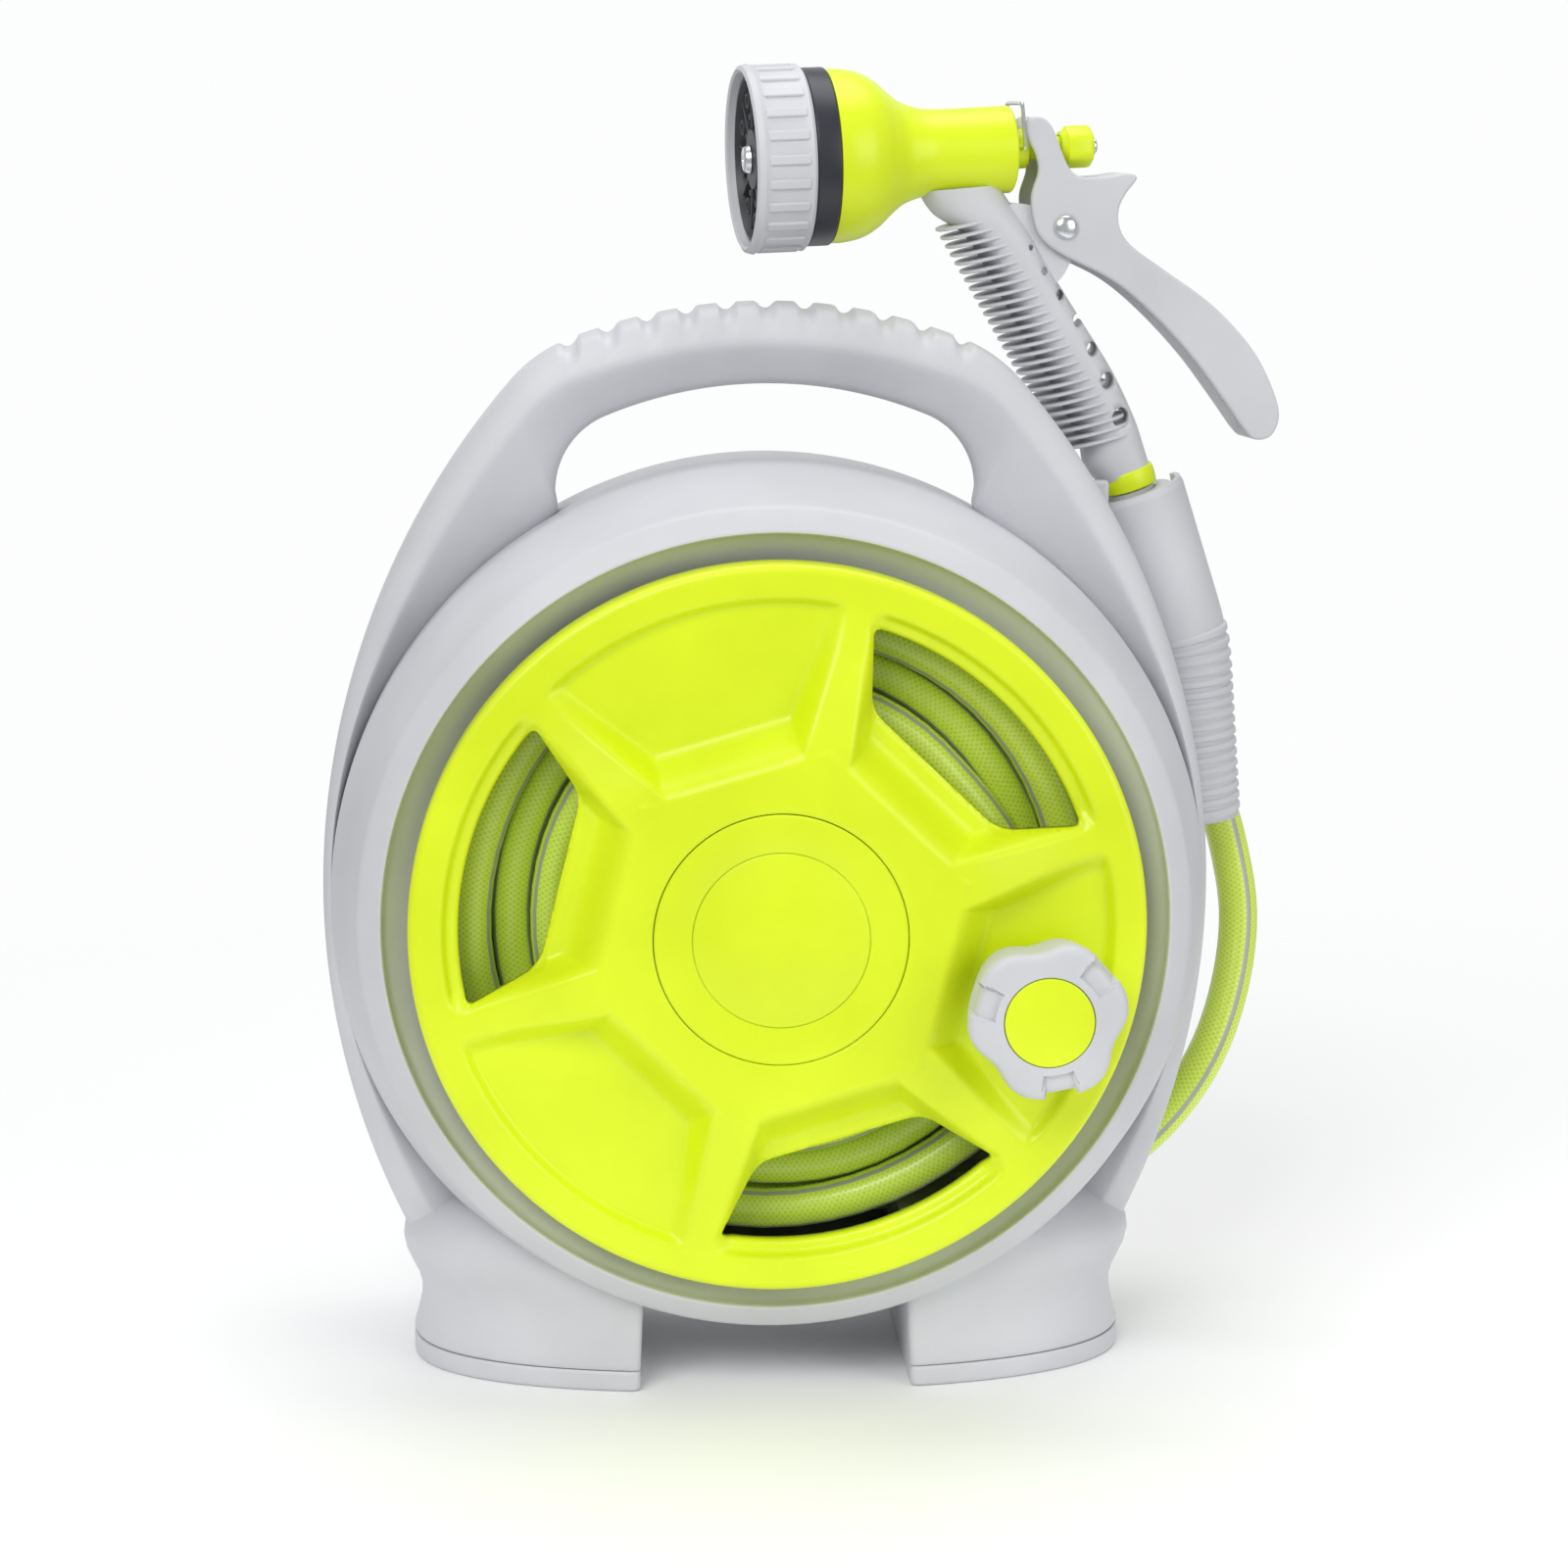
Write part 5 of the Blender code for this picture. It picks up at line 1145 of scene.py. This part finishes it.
jets = repeat("jets", ring_pattern, jet, dark_paint,
              barrel_at @ Matrix.Translation((plate_face + 2.2 * mm, 0, 0)) @ Matrix.Rotation(math.pi / 2,
                  4, "Y"),
              9, radius=18.2 * mm)
small_jet = finish_shape("small_jet", lathe(in_mm([(0, 1.2), (1.1, 1.2), (1.0, -1.1), (0, -1.2)]),
                                            16, "Z"))
small_jets = repeat("small_jets", ring_pattern, small_jet, dark_paint,
                    barrel_at @ Matrix.Translation((plate_face + 2.2 * mm, 0,
                                                    0)) @ Matrix.Rotation(math.pi / 2, 4, "Y"),
                    18, radius=13.2 * mm)
wall = soft_block("wall", (12.8 * mm, 1.1 * mm, 3.0 * mm), 0.3 * mm)
walls = repeat("walls", ring_pattern, wall, dark_paint,
               barrel_at @ Matrix.Translation((plate_face + 2.2 * mm, 0, 0)) @ Matrix.Rotation(math.pi / 2,
                   4, "Y")
               @ Matrix.Rotation(math.radians(20), 4, "Z"), 9, radius=15.4 * mm)
disc = joined("nozzle_disc", [disc, jets, small_jets, walls])
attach(disc, "dial")
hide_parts("pattern_plate")

screw_front = plate_face - 0.1 * mm


def metal(name, colour, roughness):
    """Plated steel, with faint scratches."""
    paint, nodes, links, shader = new_material(name)
    where = nodes.new("ShaderNodeTexCoord")
    scratch = nodes.new("ShaderNodeTexNoise")
    scratch.inputs["Scale"].default_value = 320
    scratch.inputs["Detail"].default_value = 3
    links.new(where.outputs["Object"], scratch.inputs["Vector"])
    rough = nodes.new("ShaderNodeMapRange")
    rough.inputs["To Min"].default_value = roughness * 0.7
    rough.inputs["To Max"].default_value = roughness * 1.5
    links.new(scratch.outputs["Fac"], rough.inputs["Value"])
    links.new(rough.outputs[0], shader.inputs["Roughness"])
    tint = ramp(nodes, [(0.3, tuple(c * 0.9 for c in colour)), (0.7, colour)])
    links.new(scratch.outputs["Fac"], tint.inputs[0])
    links.new(tint.outputs[0], shader.inputs["Base Color"])
    shader.inputs["Metallic"].default_value = 1.0
    return paint


steel_paint = metal("plated_steel", (0.80, 0.82, 0.84), 0.22)
screw_head = turned_piece("dial_centre_screw",
                          rounded([(0, dial_back - 4 * mm), (2.6 * mm, dial_back - 4 * mm),
                                                        (2.6 * mm, screw_front), (4.4 * mm, screw_front),
                                                        (3.6 * mm, screw_front - 1.9 * mm),
                                                        (1.4 * mm, screw_front - 2.3 * mm),
                                                        (1.2 * mm, screw_front - 1.2 * mm),
                                                        (0, screw_front - 1.2 * mm)],
                                                       0.4 * mm), 48, barrel_at, steel_paint)
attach(screw_head, "dial")
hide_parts("dial_screw")

# ------------------------------------------------------------ grip
# Grey hollow grip below the gun's neck: a comb of thin fins down its front, seven holes that
# grow towards the hose end, and an ear behind for the trigger's pin.
grip_sections = [(-66.0, 87.5, -42.0, 89.5, 9.5), (-61.0, 80.5, -36.5, 81.5, 10.3),
                 (-51.0, 74.0, -31.5, 74.0, 10.0),
                 (-43.5, 62.0, -24.5, 62.3, 9.6), (-35.5, 48.5, -15.5, 48.5, 9.4),
                 (-24.5, 30.0, -5.5, 33.0, 9.2),
                 (-15.8, 13.5, 1.5, 19.0, 8.9), (-13.5, 4.5, 4.6, 10.5, 8.5), (-9.6, -0.4, 6.6, 4.2, 8.0),
                 (-8.9, -1.2, 6.3, 3.3, 7.8)]
grip_holes = [(-33.0, 70.7, 0.9), (-28.6, 63.6, 1.2), (-23.4, 56.5, 1.7), (-17.8, 48.7, 2.0),
              (-13.2, 40.1, 2.3), (-8.4, 30.5, 2.7), (-4.2, 19.4, 3.1)]


def grip_shape():
    shape_rings = []
    for i in range(len(grip_sections) - 1):
        ids = [max(i - 1, 0), i, i + 1, min(i + 2, len(grip_sections) - 1)]
        for k in range(6):
            t = k / 6
            weights = (0.5 * (-t + 2 * t * t - t ** 3), 0.5 * (2 - 5 * t * t + 3 * t ** 3),
                       0.5 * (t + 4 * t * t - 3 * t ** 3), 0.5 * (-t * t + t ** 3))
            flat = [sum(w * grip_sections[j][m] for w, j in zip(weights, ids)) * mm for m in range(5)]
            shape_rings.append(flat)
    shape_rings.append([value * mm for value in grip_sections[-1]])
    rings = []
    for lu, lw, ru, rw, half in shape_rings:
        centre = Vector(((lu + ru) / 2, 0, (lw + rw) / 2))
        across = Vector(((ru - lu) / 2, 0, (rw - lw) / 2))
        ring = []
        for i in range(72):
            angle = math.tau * i / 72
            c = math.copysign(abs(math.cos(angle)) ** 0.85, math.cos(angle))
            n = math.copysign(abs(math.sin(angle)) ** 0.85, math.sin(angle))
            ring.append(centre + across * c + Vector((0, half * n, 0)))
        rings.append(ring)
    return lofted(rings)


def closed_curve(pairs, per=6):
    """Smooth closed outline through chosen pairs."""
    count = len(pairs)
    points = []
    for i in range(count):
        a, b, c, d = (Vector(pairs[(i + k) % count]) for k in (-1, 0, 1, 2))
        for k in range(per):
            t = k / per
            points.append(tuple(0.5 * ((2 * b) + (c - a) * t + (2 * a - 5 * b + 4 * c - d) * t * t
                                       + (3 * b - a - 3 * c + d) * t * t * t) * mm))
    return points


grip = finish_shape("grip_core", grip_shape())
hole_tools = [finish_shape(f"grip_hole_{i}",
                           lathe([(0, -20 * mm), (r * mm, -20 * mm), (r * mm, 20 * mm), (0, 20 * mm)],
                                                  40, "Y", (u * mm, 0, w * mm)))
              for i, (u, w, r) in enumerate(grip_holes)]
cut_away(grip, hole_tools)
ear_outline = [(-40, 83), (-28, 82.5), (-20, 81), (-17, 76.8), (-19, 69), (-24, 60.5), (-32, 60), (-40, 70)]
ear = finish_shape("grip_ear", slab(closed_curve(ear_outline), -5.6 * mm, 5.6 * mm))
fin_count = 27
fin_first = Vector((-49.0 * mm, 0, 78.5 * mm))
fin_last = Vector((-10.0 * mm, 0, 12.5 * mm))
fin_outline = [(11.2 * mm * math.copysign(abs(math.cos(math.tau * i / 48)) ** 0.8,
                                          math.cos(math.tau * i / 48)),
                10.2 * mm * math.copysign(abs(math.sin(math.tau * i / 48)) ** 0.8,
                                          math.sin(math.tau * i / 48)))
               for i in range(48)]
fin_rings = []
for scale, height in ((0.97, -0.52), (1.0, -0.3), (1.0, 0.3), (0.97, 0.52)):
    lean = math.tan(math.radians(13))
    fin_rings.append([Vector((x * scale, y * scale, height * mm + x * lean)) for x, y in fin_outline])
fin = finish_shape("fin", lofted(fin_rings))
fins = repeat("grip_fins", row_pattern, fin, grey_paint, Matrix.Translation(fin_first), fin_count,
              step=(fin_last - fin_first) / (fin_count - 1))
for part in (grip, ear):
    part.data.materials.clear()
    part.data.materials.append(grey_paint)
grip = joined("gun_grip", [grip, ear, fins])
grip.data.transform(gun_at)
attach(grip, "gun")
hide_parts("gun_handle")

collar = finish_shape("grip_end_collar",
                      lathe(rounded(in_mm([(4.6, -2.9), (8.7, -2.9), (8.9, 0.5), (8.6, 3.0), (4.6, 3.0),
                                           (4.6, -2.9)]),
                                                        0.6 * mm)[:-1], 96, "Z", turn=pull_at, ring=True))
collar.data.materials.append(lime_paint)
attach(collar, "gun")
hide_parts("gun_inlet_nut")

# ------------------------------------------------------------ trigger, its pin, valve stem, flow nut and catch
# Grey squeeze lever, a channel open to the grip, forked over the lime valve stem and held by a
# plated pin. A lime nut on the stem sets the flow, and a wire catch can hold the lever down.
lever_outer = [(-31.0, 93.2), (-31.8, 98.0), (-34.2, 102.5), (-35.6, 106.5), (-33.4, 109.2), (-29.8, 109.2),
               (-27.0, 106.6), (-24.9, 102.0), (-21.6, 94.6), (-17.7, 91.8), (-9.7, 91.9), (-3.3, 92.7),
               (-0.4, 91.2),
               (-3.8, 86.6), (-5.9, 82.0), (-5.5, 76.4), (-1.7, 71.0), (8.6, 63.8), (24.0, 53.0),
               (36.7, 39.8), (43.6, 27.4), (45.8, 19.0), (43.5, 13.2), (38.9, 11.9)]
lever_inner = [(35.4, 14.4), (28.3, 24.0), (17.7, 37.6), (4.8, 50.9), (-7.7, 60.8), (-22.9, 68.3),
               (-29.4, 73.0), (-32.0, 78.0), (-33.0, 86.0)]
channel = [(40.0, 18.0), (37.0, 26.0), (31.0, 36.5), (21.0, 47.5), (5.5, 59.5), (-5.5, 66.5), (-11.5, 71.5),
           (-13.5, 84.0), (-20.5, 86.0), (-28.0, 100.0), (-29.0, 115.0), (-50.0, 115.0), (-50.0, 60.0),
           (-22.9, 60.0), (-7.7, 52.0), (4.8, 42.0), (17.7, 30.0), (28.3, 14.0), (33.0, 8.0)]
lever = finish_shape("squeeze_lever", slab(closed_curve(lever_outer + lever_inner), -8.5 * mm, 8.5 * mm),
                     sharp=50)
eased = lever.modifiers.new("edges", "BEVEL")
eased.width = 1.5 * mm
eased.segments = 4
eased.limit_method = "ANGLE"
eased.angle_limit = math.radians(50)
settle(lever)
gate = in_mm([(-50, 94.5), (-10, 95.8), (-10, 115), (-50, 115)])
cut_away(lever, [finish_shape("channel_tool",
                              slab([(u * mm, w * mm) for u, w in channel], -6.6 * mm, 6.6 * mm)),
                 finish_shape("gate_tool", slab(gate, -4.2 * mm, 4.2 * mm))])
lever.data.materials.clear()
lever.data.materials.append(grey_paint)
lever.data.transform(gun_at)
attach(lever, "squeeze_lever")
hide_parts("trigger")

pin_at = gun_at @ Matrix.Translation((-22.4 * mm, 0, 76.8 * mm))
pin_end = 8.8 * mm
pin_half = [(0, pin_end + 1.6 * mm), (1.6 * mm, pin_end + 1.45 * mm), (2.8 * mm, pin_end + 1.05 * mm),
            (3.5 * mm, pin_end + 0.5 * mm), (3.7 * mm, pin_end), (2.5 * mm, pin_end)]
pin = finish_shape("trigger_pin",
                   lathe([(r, -y) for r, y in pin_half] + list(reversed(pin_half)), 64, "Y", turn=pin_at))
pin.data.materials.append(steel_paint)
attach(pin, "gun")
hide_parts("pivot_pin")

stem = turned_piece("valve_rod", rounded(in_mm([(0, -25), (3.4, -25), (3.4, 24.6), (0, 24.6)]),
                                         0.4 * mm), 48, barrel_at, lime_paint)
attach(stem, "stem")
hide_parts("valve_stem")


def flow_nut_shape():
    """Six soft lobes round the stem."""
    steps = 96
    shape = bmesh.new()
    rows = []
    for x, radius, lobes in ((15.2, 4.4, 0), (15.6, 4.9, 0), (16.6, 5.3, 0.3), (17.2, 6.2, 1),
                             (18, 6.35, 1), (23.6, 6.35, 1),
                             (24.6, 6.0, 1), (25.1, 5.2, 0.5), (25.2, 3.9, 0)):
        rows.append([shape.verts.new((x * mm,
                                      *(radius * mm * (1 - 0.065 * lobes * (1 + math.cos(6 * a)) / 2)
                                                * v for v in (math.cos(a), math.sin(a)))))
                     for a in (math.tau * i / steps for i in range(steps))])
    rows.append([shape.verts.new((25.2 * mm, 3.75 * mm * math.cos(a), 3.75 * mm * math.sin(a)))
                 for a in (math.tau * i / steps for i in range(steps))])
    rows.append([shape.verts.new((15.2 * mm, 3.75 * mm * math.cos(a), 3.75 * mm * math.sin(a)))
                 for a in (math.tau * i / steps for i in range(steps))])
    for a, b in zip(rows, rows[1:] + rows[:1]):
        for i in range(steps):
            j = (i + 1) % steps
            shape.faces.new((a[i], a[j], b[j], b[i]))
    bmesh.ops.transform(shape, matrix=barrel_at, verts=shape.verts)
    return shape


nut = finish_shape("flow_knob", flow_nut_shape())
nut.data.materials.append(lime_paint)
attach(nut, "flow_control")
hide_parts("flow_nut")

tip = turned_piece("stem_end_screw",
                   rounded(in_mm([(0, 24.7), (2.6, 24.7), (2.6, 26.3), (1.7, 26.9), (0, 26.9)]), 0.3 * mm),
                   32, barrel_at, steel_paint)
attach(tip, "stem")
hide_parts("stem_screw")

catch_side = 9.7 * mm
catch_route = [(0, -6.2 * mm, 0), (0, -catch_side + 1.4 * mm, 0), (0, -catch_side + 0.3 * mm, 0.3 * mm),
               (0, -catch_side, 1.6 * mm), (-0.5 * mm, -catch_side, 7 * mm),
               (-0.9 * mm, -catch_side, 11.6 * mm), (-0.9 * mm, -catch_side + 0.7 * mm, 12.9 * mm),
               (-0.9 * mm, -catch_side + 2.4 * mm, 13.4 * mm)]
catch_points = [Vector(p) for p in catch_route] + [Vector((x, -y, z)) for x, y, z in reversed(catch_route)]
catch_at = gun_at @ Matrix.Translation((-35.6 * mm, 0, 100.0 * mm))
catch = pipe("wire_catch", [catch_at @ p for p in smooth_curve(catch_points, 0.8 * mm)], 0.62 * mm,
             around=10)
catch.data.materials.append(steel_paint)
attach(catch, "lock_clip")
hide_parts("trigger_clip")

# ------------------------------------------------------------ gun holster
# Grey open-sided sleeve screwed to the back of the frame. It guides the hose and its connector
# up to the gun; the lower half is finely ribbed and the side is open for threading the hose.
holster_bore = 14 * mm
holster_outer = 16.8 * mm
slot_from = math.radians(12)
slot_to = math.radians(118)


def holster_shape():
    rings = []
    place = Vector((math.sin(math.radians(18)), 0, -math.cos(math.radians(18)))) * 3.5 * mm
    step = 0.5 * mm
    count = 210
    for i in range(count + 1):
        run = i * step
        tilt = math.radians(18 - 13.5 * ease(38 * mm, 60 * mm, run))
        rib_wave = 0.0
        if run > 46.5 * mm:
            phase = ((run - 46.5 * mm) / (3.4 * mm)) % 1
            rib_wave = 0.75 * mm * ease(0.0, 0.18, phase) * (1 - ease(0.55, 0.73, phase))
        flare = 0.5 * mm * (1 - ease(0, 2.0 * mm, run)) + 0.5 * mm * ease(103 * mm, 105 * mm, run)
        outer = holster_outer - 0.4 * mm + rib_wave - flare
        inner = holster_bore + 0.2 * mm + flare * 0.4
        across = Vector((math.cos(tilt), 0, math.sin(tilt)))
        depth = Vector((0, 1, 0))
        span = math.tau - (slot_to - slot_from)
        ring = []
        for radius, order in ((outer, range(73)), (inner, range(72, -1, -1))):
            for k in order:
                angle = slot_to + span * k / 72
                ring.append(place + across * radius * math.cos(angle) + depth * radius * math.sin(angle))
        rings.append(ring)
        place = place + Vector((math.sin(tilt), 0, -math.cos(tilt))) * step
    shape = lofted(rings)
    bmesh.ops.transform(shape, matrix=gun_at, verts=shape.verts)
    return shape


holster = finish_shape("holster_sleeve", holster_shape())
room = shell_r + 0.3 * mm
lean = (crease_r - shell_r) / (32 * mm)
housing_room = lathe([(0, -60 * mm), (room, -60 * mm), (room, 22 * mm), (room + lean * 30 * mm, 52 * mm),
                      (0, 52 * mm)],
                     180, "Y", drum_at)
frame_room = outer_rail()
frame_room = [(p.x + 0.3 * mm, p.y) for p in frame_room] + [(-p.x - 0.3 * mm,
    p.y) for p in reversed(frame_room[:-1])]
cut_away(holster, [finish_shape("housing_room", housing_room),
                   finish_shape("frame_room", slab(frame_room, -60 * mm, 13.3 * mm, drum_at))])
holster_seats = [(90 * mm, 258 * mm), (101 * mm, 236 * mm)]
tabs = []
for index, (x, z) in enumerate(holster_seats):
    reach = 112.5 * mm + (262 * mm - z) * math.tan(math.radians(18)) - x
    tab = block(f"holster_tab_{index}", (x - 5.5 * mm - 13 * mm, (13.4 + 9.3) * mm, z - 5 * mm),
                (x + reach - 9 * mm - 13 * mm, (17.8 + 9.3) * mm, z + 5 * mm))
    step = tab.modifiers.new("edges", "BEVEL")
    step.width = 1.0 * mm
    step.segments = 3
    tabs.append(settle(tab))
for part in [holster] + tabs:
    part.data.materials.clear()
    part.data.materials.append(grey_paint)
holster = joined("gun_holster_sleeve", [holster] + tabs)
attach(holster, "case")
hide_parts("gun_holster")

# ------------------------------------------------------------ quick connector
# Click connector inside the holster: grey body on the gun's nipple, lime release sleeve that
# slides down, grey clamp nut on the hose.
connector_r = 11 * mm
sleeve_r = 13.3 * mm
connector_body = finish_shape("connector_body", lathe(rounded(
    [(7.8 * mm, -4.5 * mm), (12.5 * mm, -4.5 * mm), (12.5 * mm, -7 * mm), (connector_r, -7 * mm),
     (connector_r, -32 * mm),
     (7.5 * mm, -32 * mm), (7.5 * mm, -38 * mm), (3 * mm, -38 * mm), (3 * mm, -24 * mm),
     (7.8 * mm, -24 * mm), (7.8 * mm, -4.5 * mm)], 0.5 * mm)[:-1], 72, "Z", turn=pull_at, ring=True))
connector_body.data.materials.append(grey_paint)
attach(connector_body, "case")
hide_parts("hose_connector")


def gripped_ring(outer, inner, high, low, lobes, depth):
    """Sleeve with soft finger flutes round it."""
    steps = 144
    shape = bmesh.new()
    rows = []
    levels = [(high, outer - 0.6 * mm, 0), (high - 0.6 * mm, outer, 0), (high - 2.5 * mm, outer, 0),
              (high - 4 * mm, outer, 1),
              (low + 4 * mm, outer, 1), (low + 2.5 * mm, outer, 0), (low + 0.6 * mm, outer, 0),
              (low, outer - 0.6 * mm, 0), (low, inner, 0), (high, inner, 0)]
    for z, radius, share in levels:
        row = []
        for i in range(steps):
            angle = math.tau * i / steps
            r = radius - depth * share * (0.5 + 0.5 * math.cos(lobes * angle))
            row.append(shape.verts.new((r * math.cos(angle), r * math.sin(angle), z)))
        rows.append(row)
    for a, b in zip(rows, rows[1:] + rows[:1]):
        for i in range(steps):
            j = (i + 1) % steps
            shape.faces.new((a[i], a[j], b[j], b[i]))
    bmesh.ops.transform(shape, matrix=pull_at, verts=shape.verts)
    return shape


release = finish_shape("connector_release",
                       gripped_ring(sleeve_r, connector_r + 0.3 * mm, -7.6 * mm, -24.9 * mm, 24, 0.5 * mm))
release.data.materials.append(lime_paint)
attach(release, "sleeve")
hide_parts("connector_sleeve")

clamp_nut = finish_shape("clamp_nut", lathe(rounded(
    [(connector_r + 0.3 * mm, -29 * mm), (sleeve_r, -29 * mm), (sleeve_r, -48.2 * mm),
     (10.3 * mm, -51.1 * mm),
     (6.6 * mm, -51.1 * mm), (6.6 * mm, -40 * mm), (connector_r + 0.3 * mm, -33 * mm),
     (connector_r + 0.3 * mm, -29 * mm)],
    0.5 * mm)[:-1], 72, "Z", turn=pull_at, ring=True))
clamp_nut.data.materials.append(grey_paint)
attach(clamp_nut, "case")
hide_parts("connector_hose_nut")

# ------------------------------------------------------------ soles and screws
# Flat grey soles close the hollow feet. Plated pan-head screws with a cross recess hold the
# case halves, the holster and, under the hub cap, the drum's face.
for hand, word in ((-1, "left"), (1, "right")):
    front_edge = foot_ring(-1, hand, 0.996, 0, overlap=0)
    back_edge = foot_ring(1, hand, 0.996, 0, overlap=0)
    plan = front_edge[1:-1] + list(reversed(back_edge[1:]))
    centre = sum(plan, Vector()) / len(plan)
    rings = []
    for z, grow in ((0, 0.985), (0.4 * mm, 0.995), (1.2 * mm, 1.0), (4.8 * mm, 1.0), (5.6 * mm, 0.996),
                    (5.95 * mm, 0.988)):
        rings.append([centre.lerp(p, grow) + Vector((0, 0, z)) for p in plan])
    sole = finish_shape(f"sole_{word}", lofted(rings), sharp=40)
    sole.data.materials.append(grey_paint)
    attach(sole, "case")
    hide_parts(f"foot_sole_{word}")


def screw_set(name, spots, seat, reach, way):
    """Screws along Y at the given places; way is +1 with heads to the back."""
    heads = []
    for x, z in spots:
        profile = [(0, reach), (1.5 * mm, reach), (1.5 * mm, seat), (3.4 * mm, seat + way * 0.05 * mm),
                   (3.4 * mm, seat + way * 0.7 * mm), (2.9 * mm, seat + way * 1.7 * mm),
                   (1.9 * mm, seat + way * 2.3 * mm), (0, seat + way * 2.4 * mm)]
        heads.append(lathe(profile, 32, "Y", (x + drum_at.x, drum_at.y, z)))
    item = finish_shape(name, fused(heads))
    recesses = []
    for x, z in spots:
        for wide, tall in ((2.1 * mm, 0.45 * mm), (0.45 * mm, 2.1 * mm)):
            depth = sorted((seat + way * 1.1 * mm, seat + way * 3 * mm))
            recesses.append(block("recess", (x + drum_at.x - wide, drum_at.y + depth[0], z - tall),
                                  (x + drum_at.x + wide, drum_at.y + depth[1], z + tall)))
    cut_away(item, recesses)
    item.data.materials.clear()
    item.data.materials.append(steel_paint)
    return item


case_screws = screw_set("case_screws", [(x * mm, z * mm) for x, z in
                                        ((-70, 277), (70, 277), (-111.5, 68), (111.5, 68), (-72, 22),
                                         (72, 22))],
                        8.3 * mm, -9 * mm, 1)
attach(case_screws, "case")
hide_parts(*[f"housing_screw_{i}" for i in range(1, 7)])

holster_screws = screw_set("holster_screws", holster_seats, 16.1 * mm, 5 * mm, 1)
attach(holster_screws, "case")
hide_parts("holster_screw_1", "holster_screw_2")

# ------------------------------------------------------------ water inlet
# Grey spigot on the drum's axis, held in the rear case by a plated spring clip. A rubber ring
# seals the hose tail that pushes on behind.
inlet = finish_shape("water_inlet", lathe(rounded(
    in_mm([(4, 6), (8, 6), (8, 34), (14, 34), (14, 36.5), (12, 36.5), (12, 39.7), (14, 39.7), (14, 57.3),
           (20, 57.3), (20, 60), (10, 60), (10, 66), (8, 68), (8, 70), (9.5, 71.5), (8, 73), (8, 75),
           (6.4, 75), (6.4, 78), (8, 78), (8, 82), (4, 82), (4, 6)]), 0.5 * mm)[:-1], 96, "Y", drum_at,
           ring=True))
inlet.data.materials.append(grey_paint)
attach(inlet, "case")
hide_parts("inlet_spigot")

rubber_paint = plastic("seal_rubber_black", (0.018, 0.018, 0.019), 0.62)
seal = finish_shape("inlet_ring_seal", lathe(
    [(7.4 * mm + 0.9 * mm * math.cos(math.tau * i / 16),
      76.5 * mm + 1.15 * mm * math.sin(math.tau * i / 16))
     for i in range(16)], 72, "Y", drum_at, ring=True))
seal.data.materials.append(rubber_paint)
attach(seal, "case")
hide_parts("inlet_seal")

# ------------------------------------------------------------ drum behind its face
# Grey barrel under the hose and a lime rear flange with stiffening ribs, turning on a bush
# round the inlet. These and the steel pins keep their modelled shapes where nothing shows.
flange_ring = rounded(in_mm([(106, 27.6), (106, 30.4), (14.6, 30.4), (14.6, 33.3), (11.7, 33.3),
                             (11.7, 4.1), (14.5, 4.1), (14.5, 27.6), (106, 27.6)]), 0.6 * mm)
flange = finish_shape("drum_back_flange", lathe(flange_ring[:-1], 144, "Y", drum_at, ring=True))
flange.data.materials.append(lime_paint)
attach(flange, "drum")
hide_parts("drum_rear_flange")

barrel = finish_shape("drum_core", lathe(rounded(
    in_mm([(0, -55.7), (48, -55.7), (48, 26.9), (45, 26.9), (45, -46.7), (0, -46.7)]), 0.6 * mm), 120, "Y",
    drum_at))
barrel.data.materials.append(grey_paint)
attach(barrel, "drum")
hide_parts("drum_barrel")

for node, paint in (("drum_bush", grey_paint), ("drum_outlet", grey_paint), ("gun_nipple", grey_paint),
                    ("knob_spindle", steel_paint), ("drum_screw_1", steel_paint),
                    ("drum_screw_2", steel_paint),
                    ("drum_screw_3", steel_paint), ("spigot_clip", steel_paint)):
    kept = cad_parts[node]
    kept.data.materials.clear()
    kept.data.materials.append(paint)
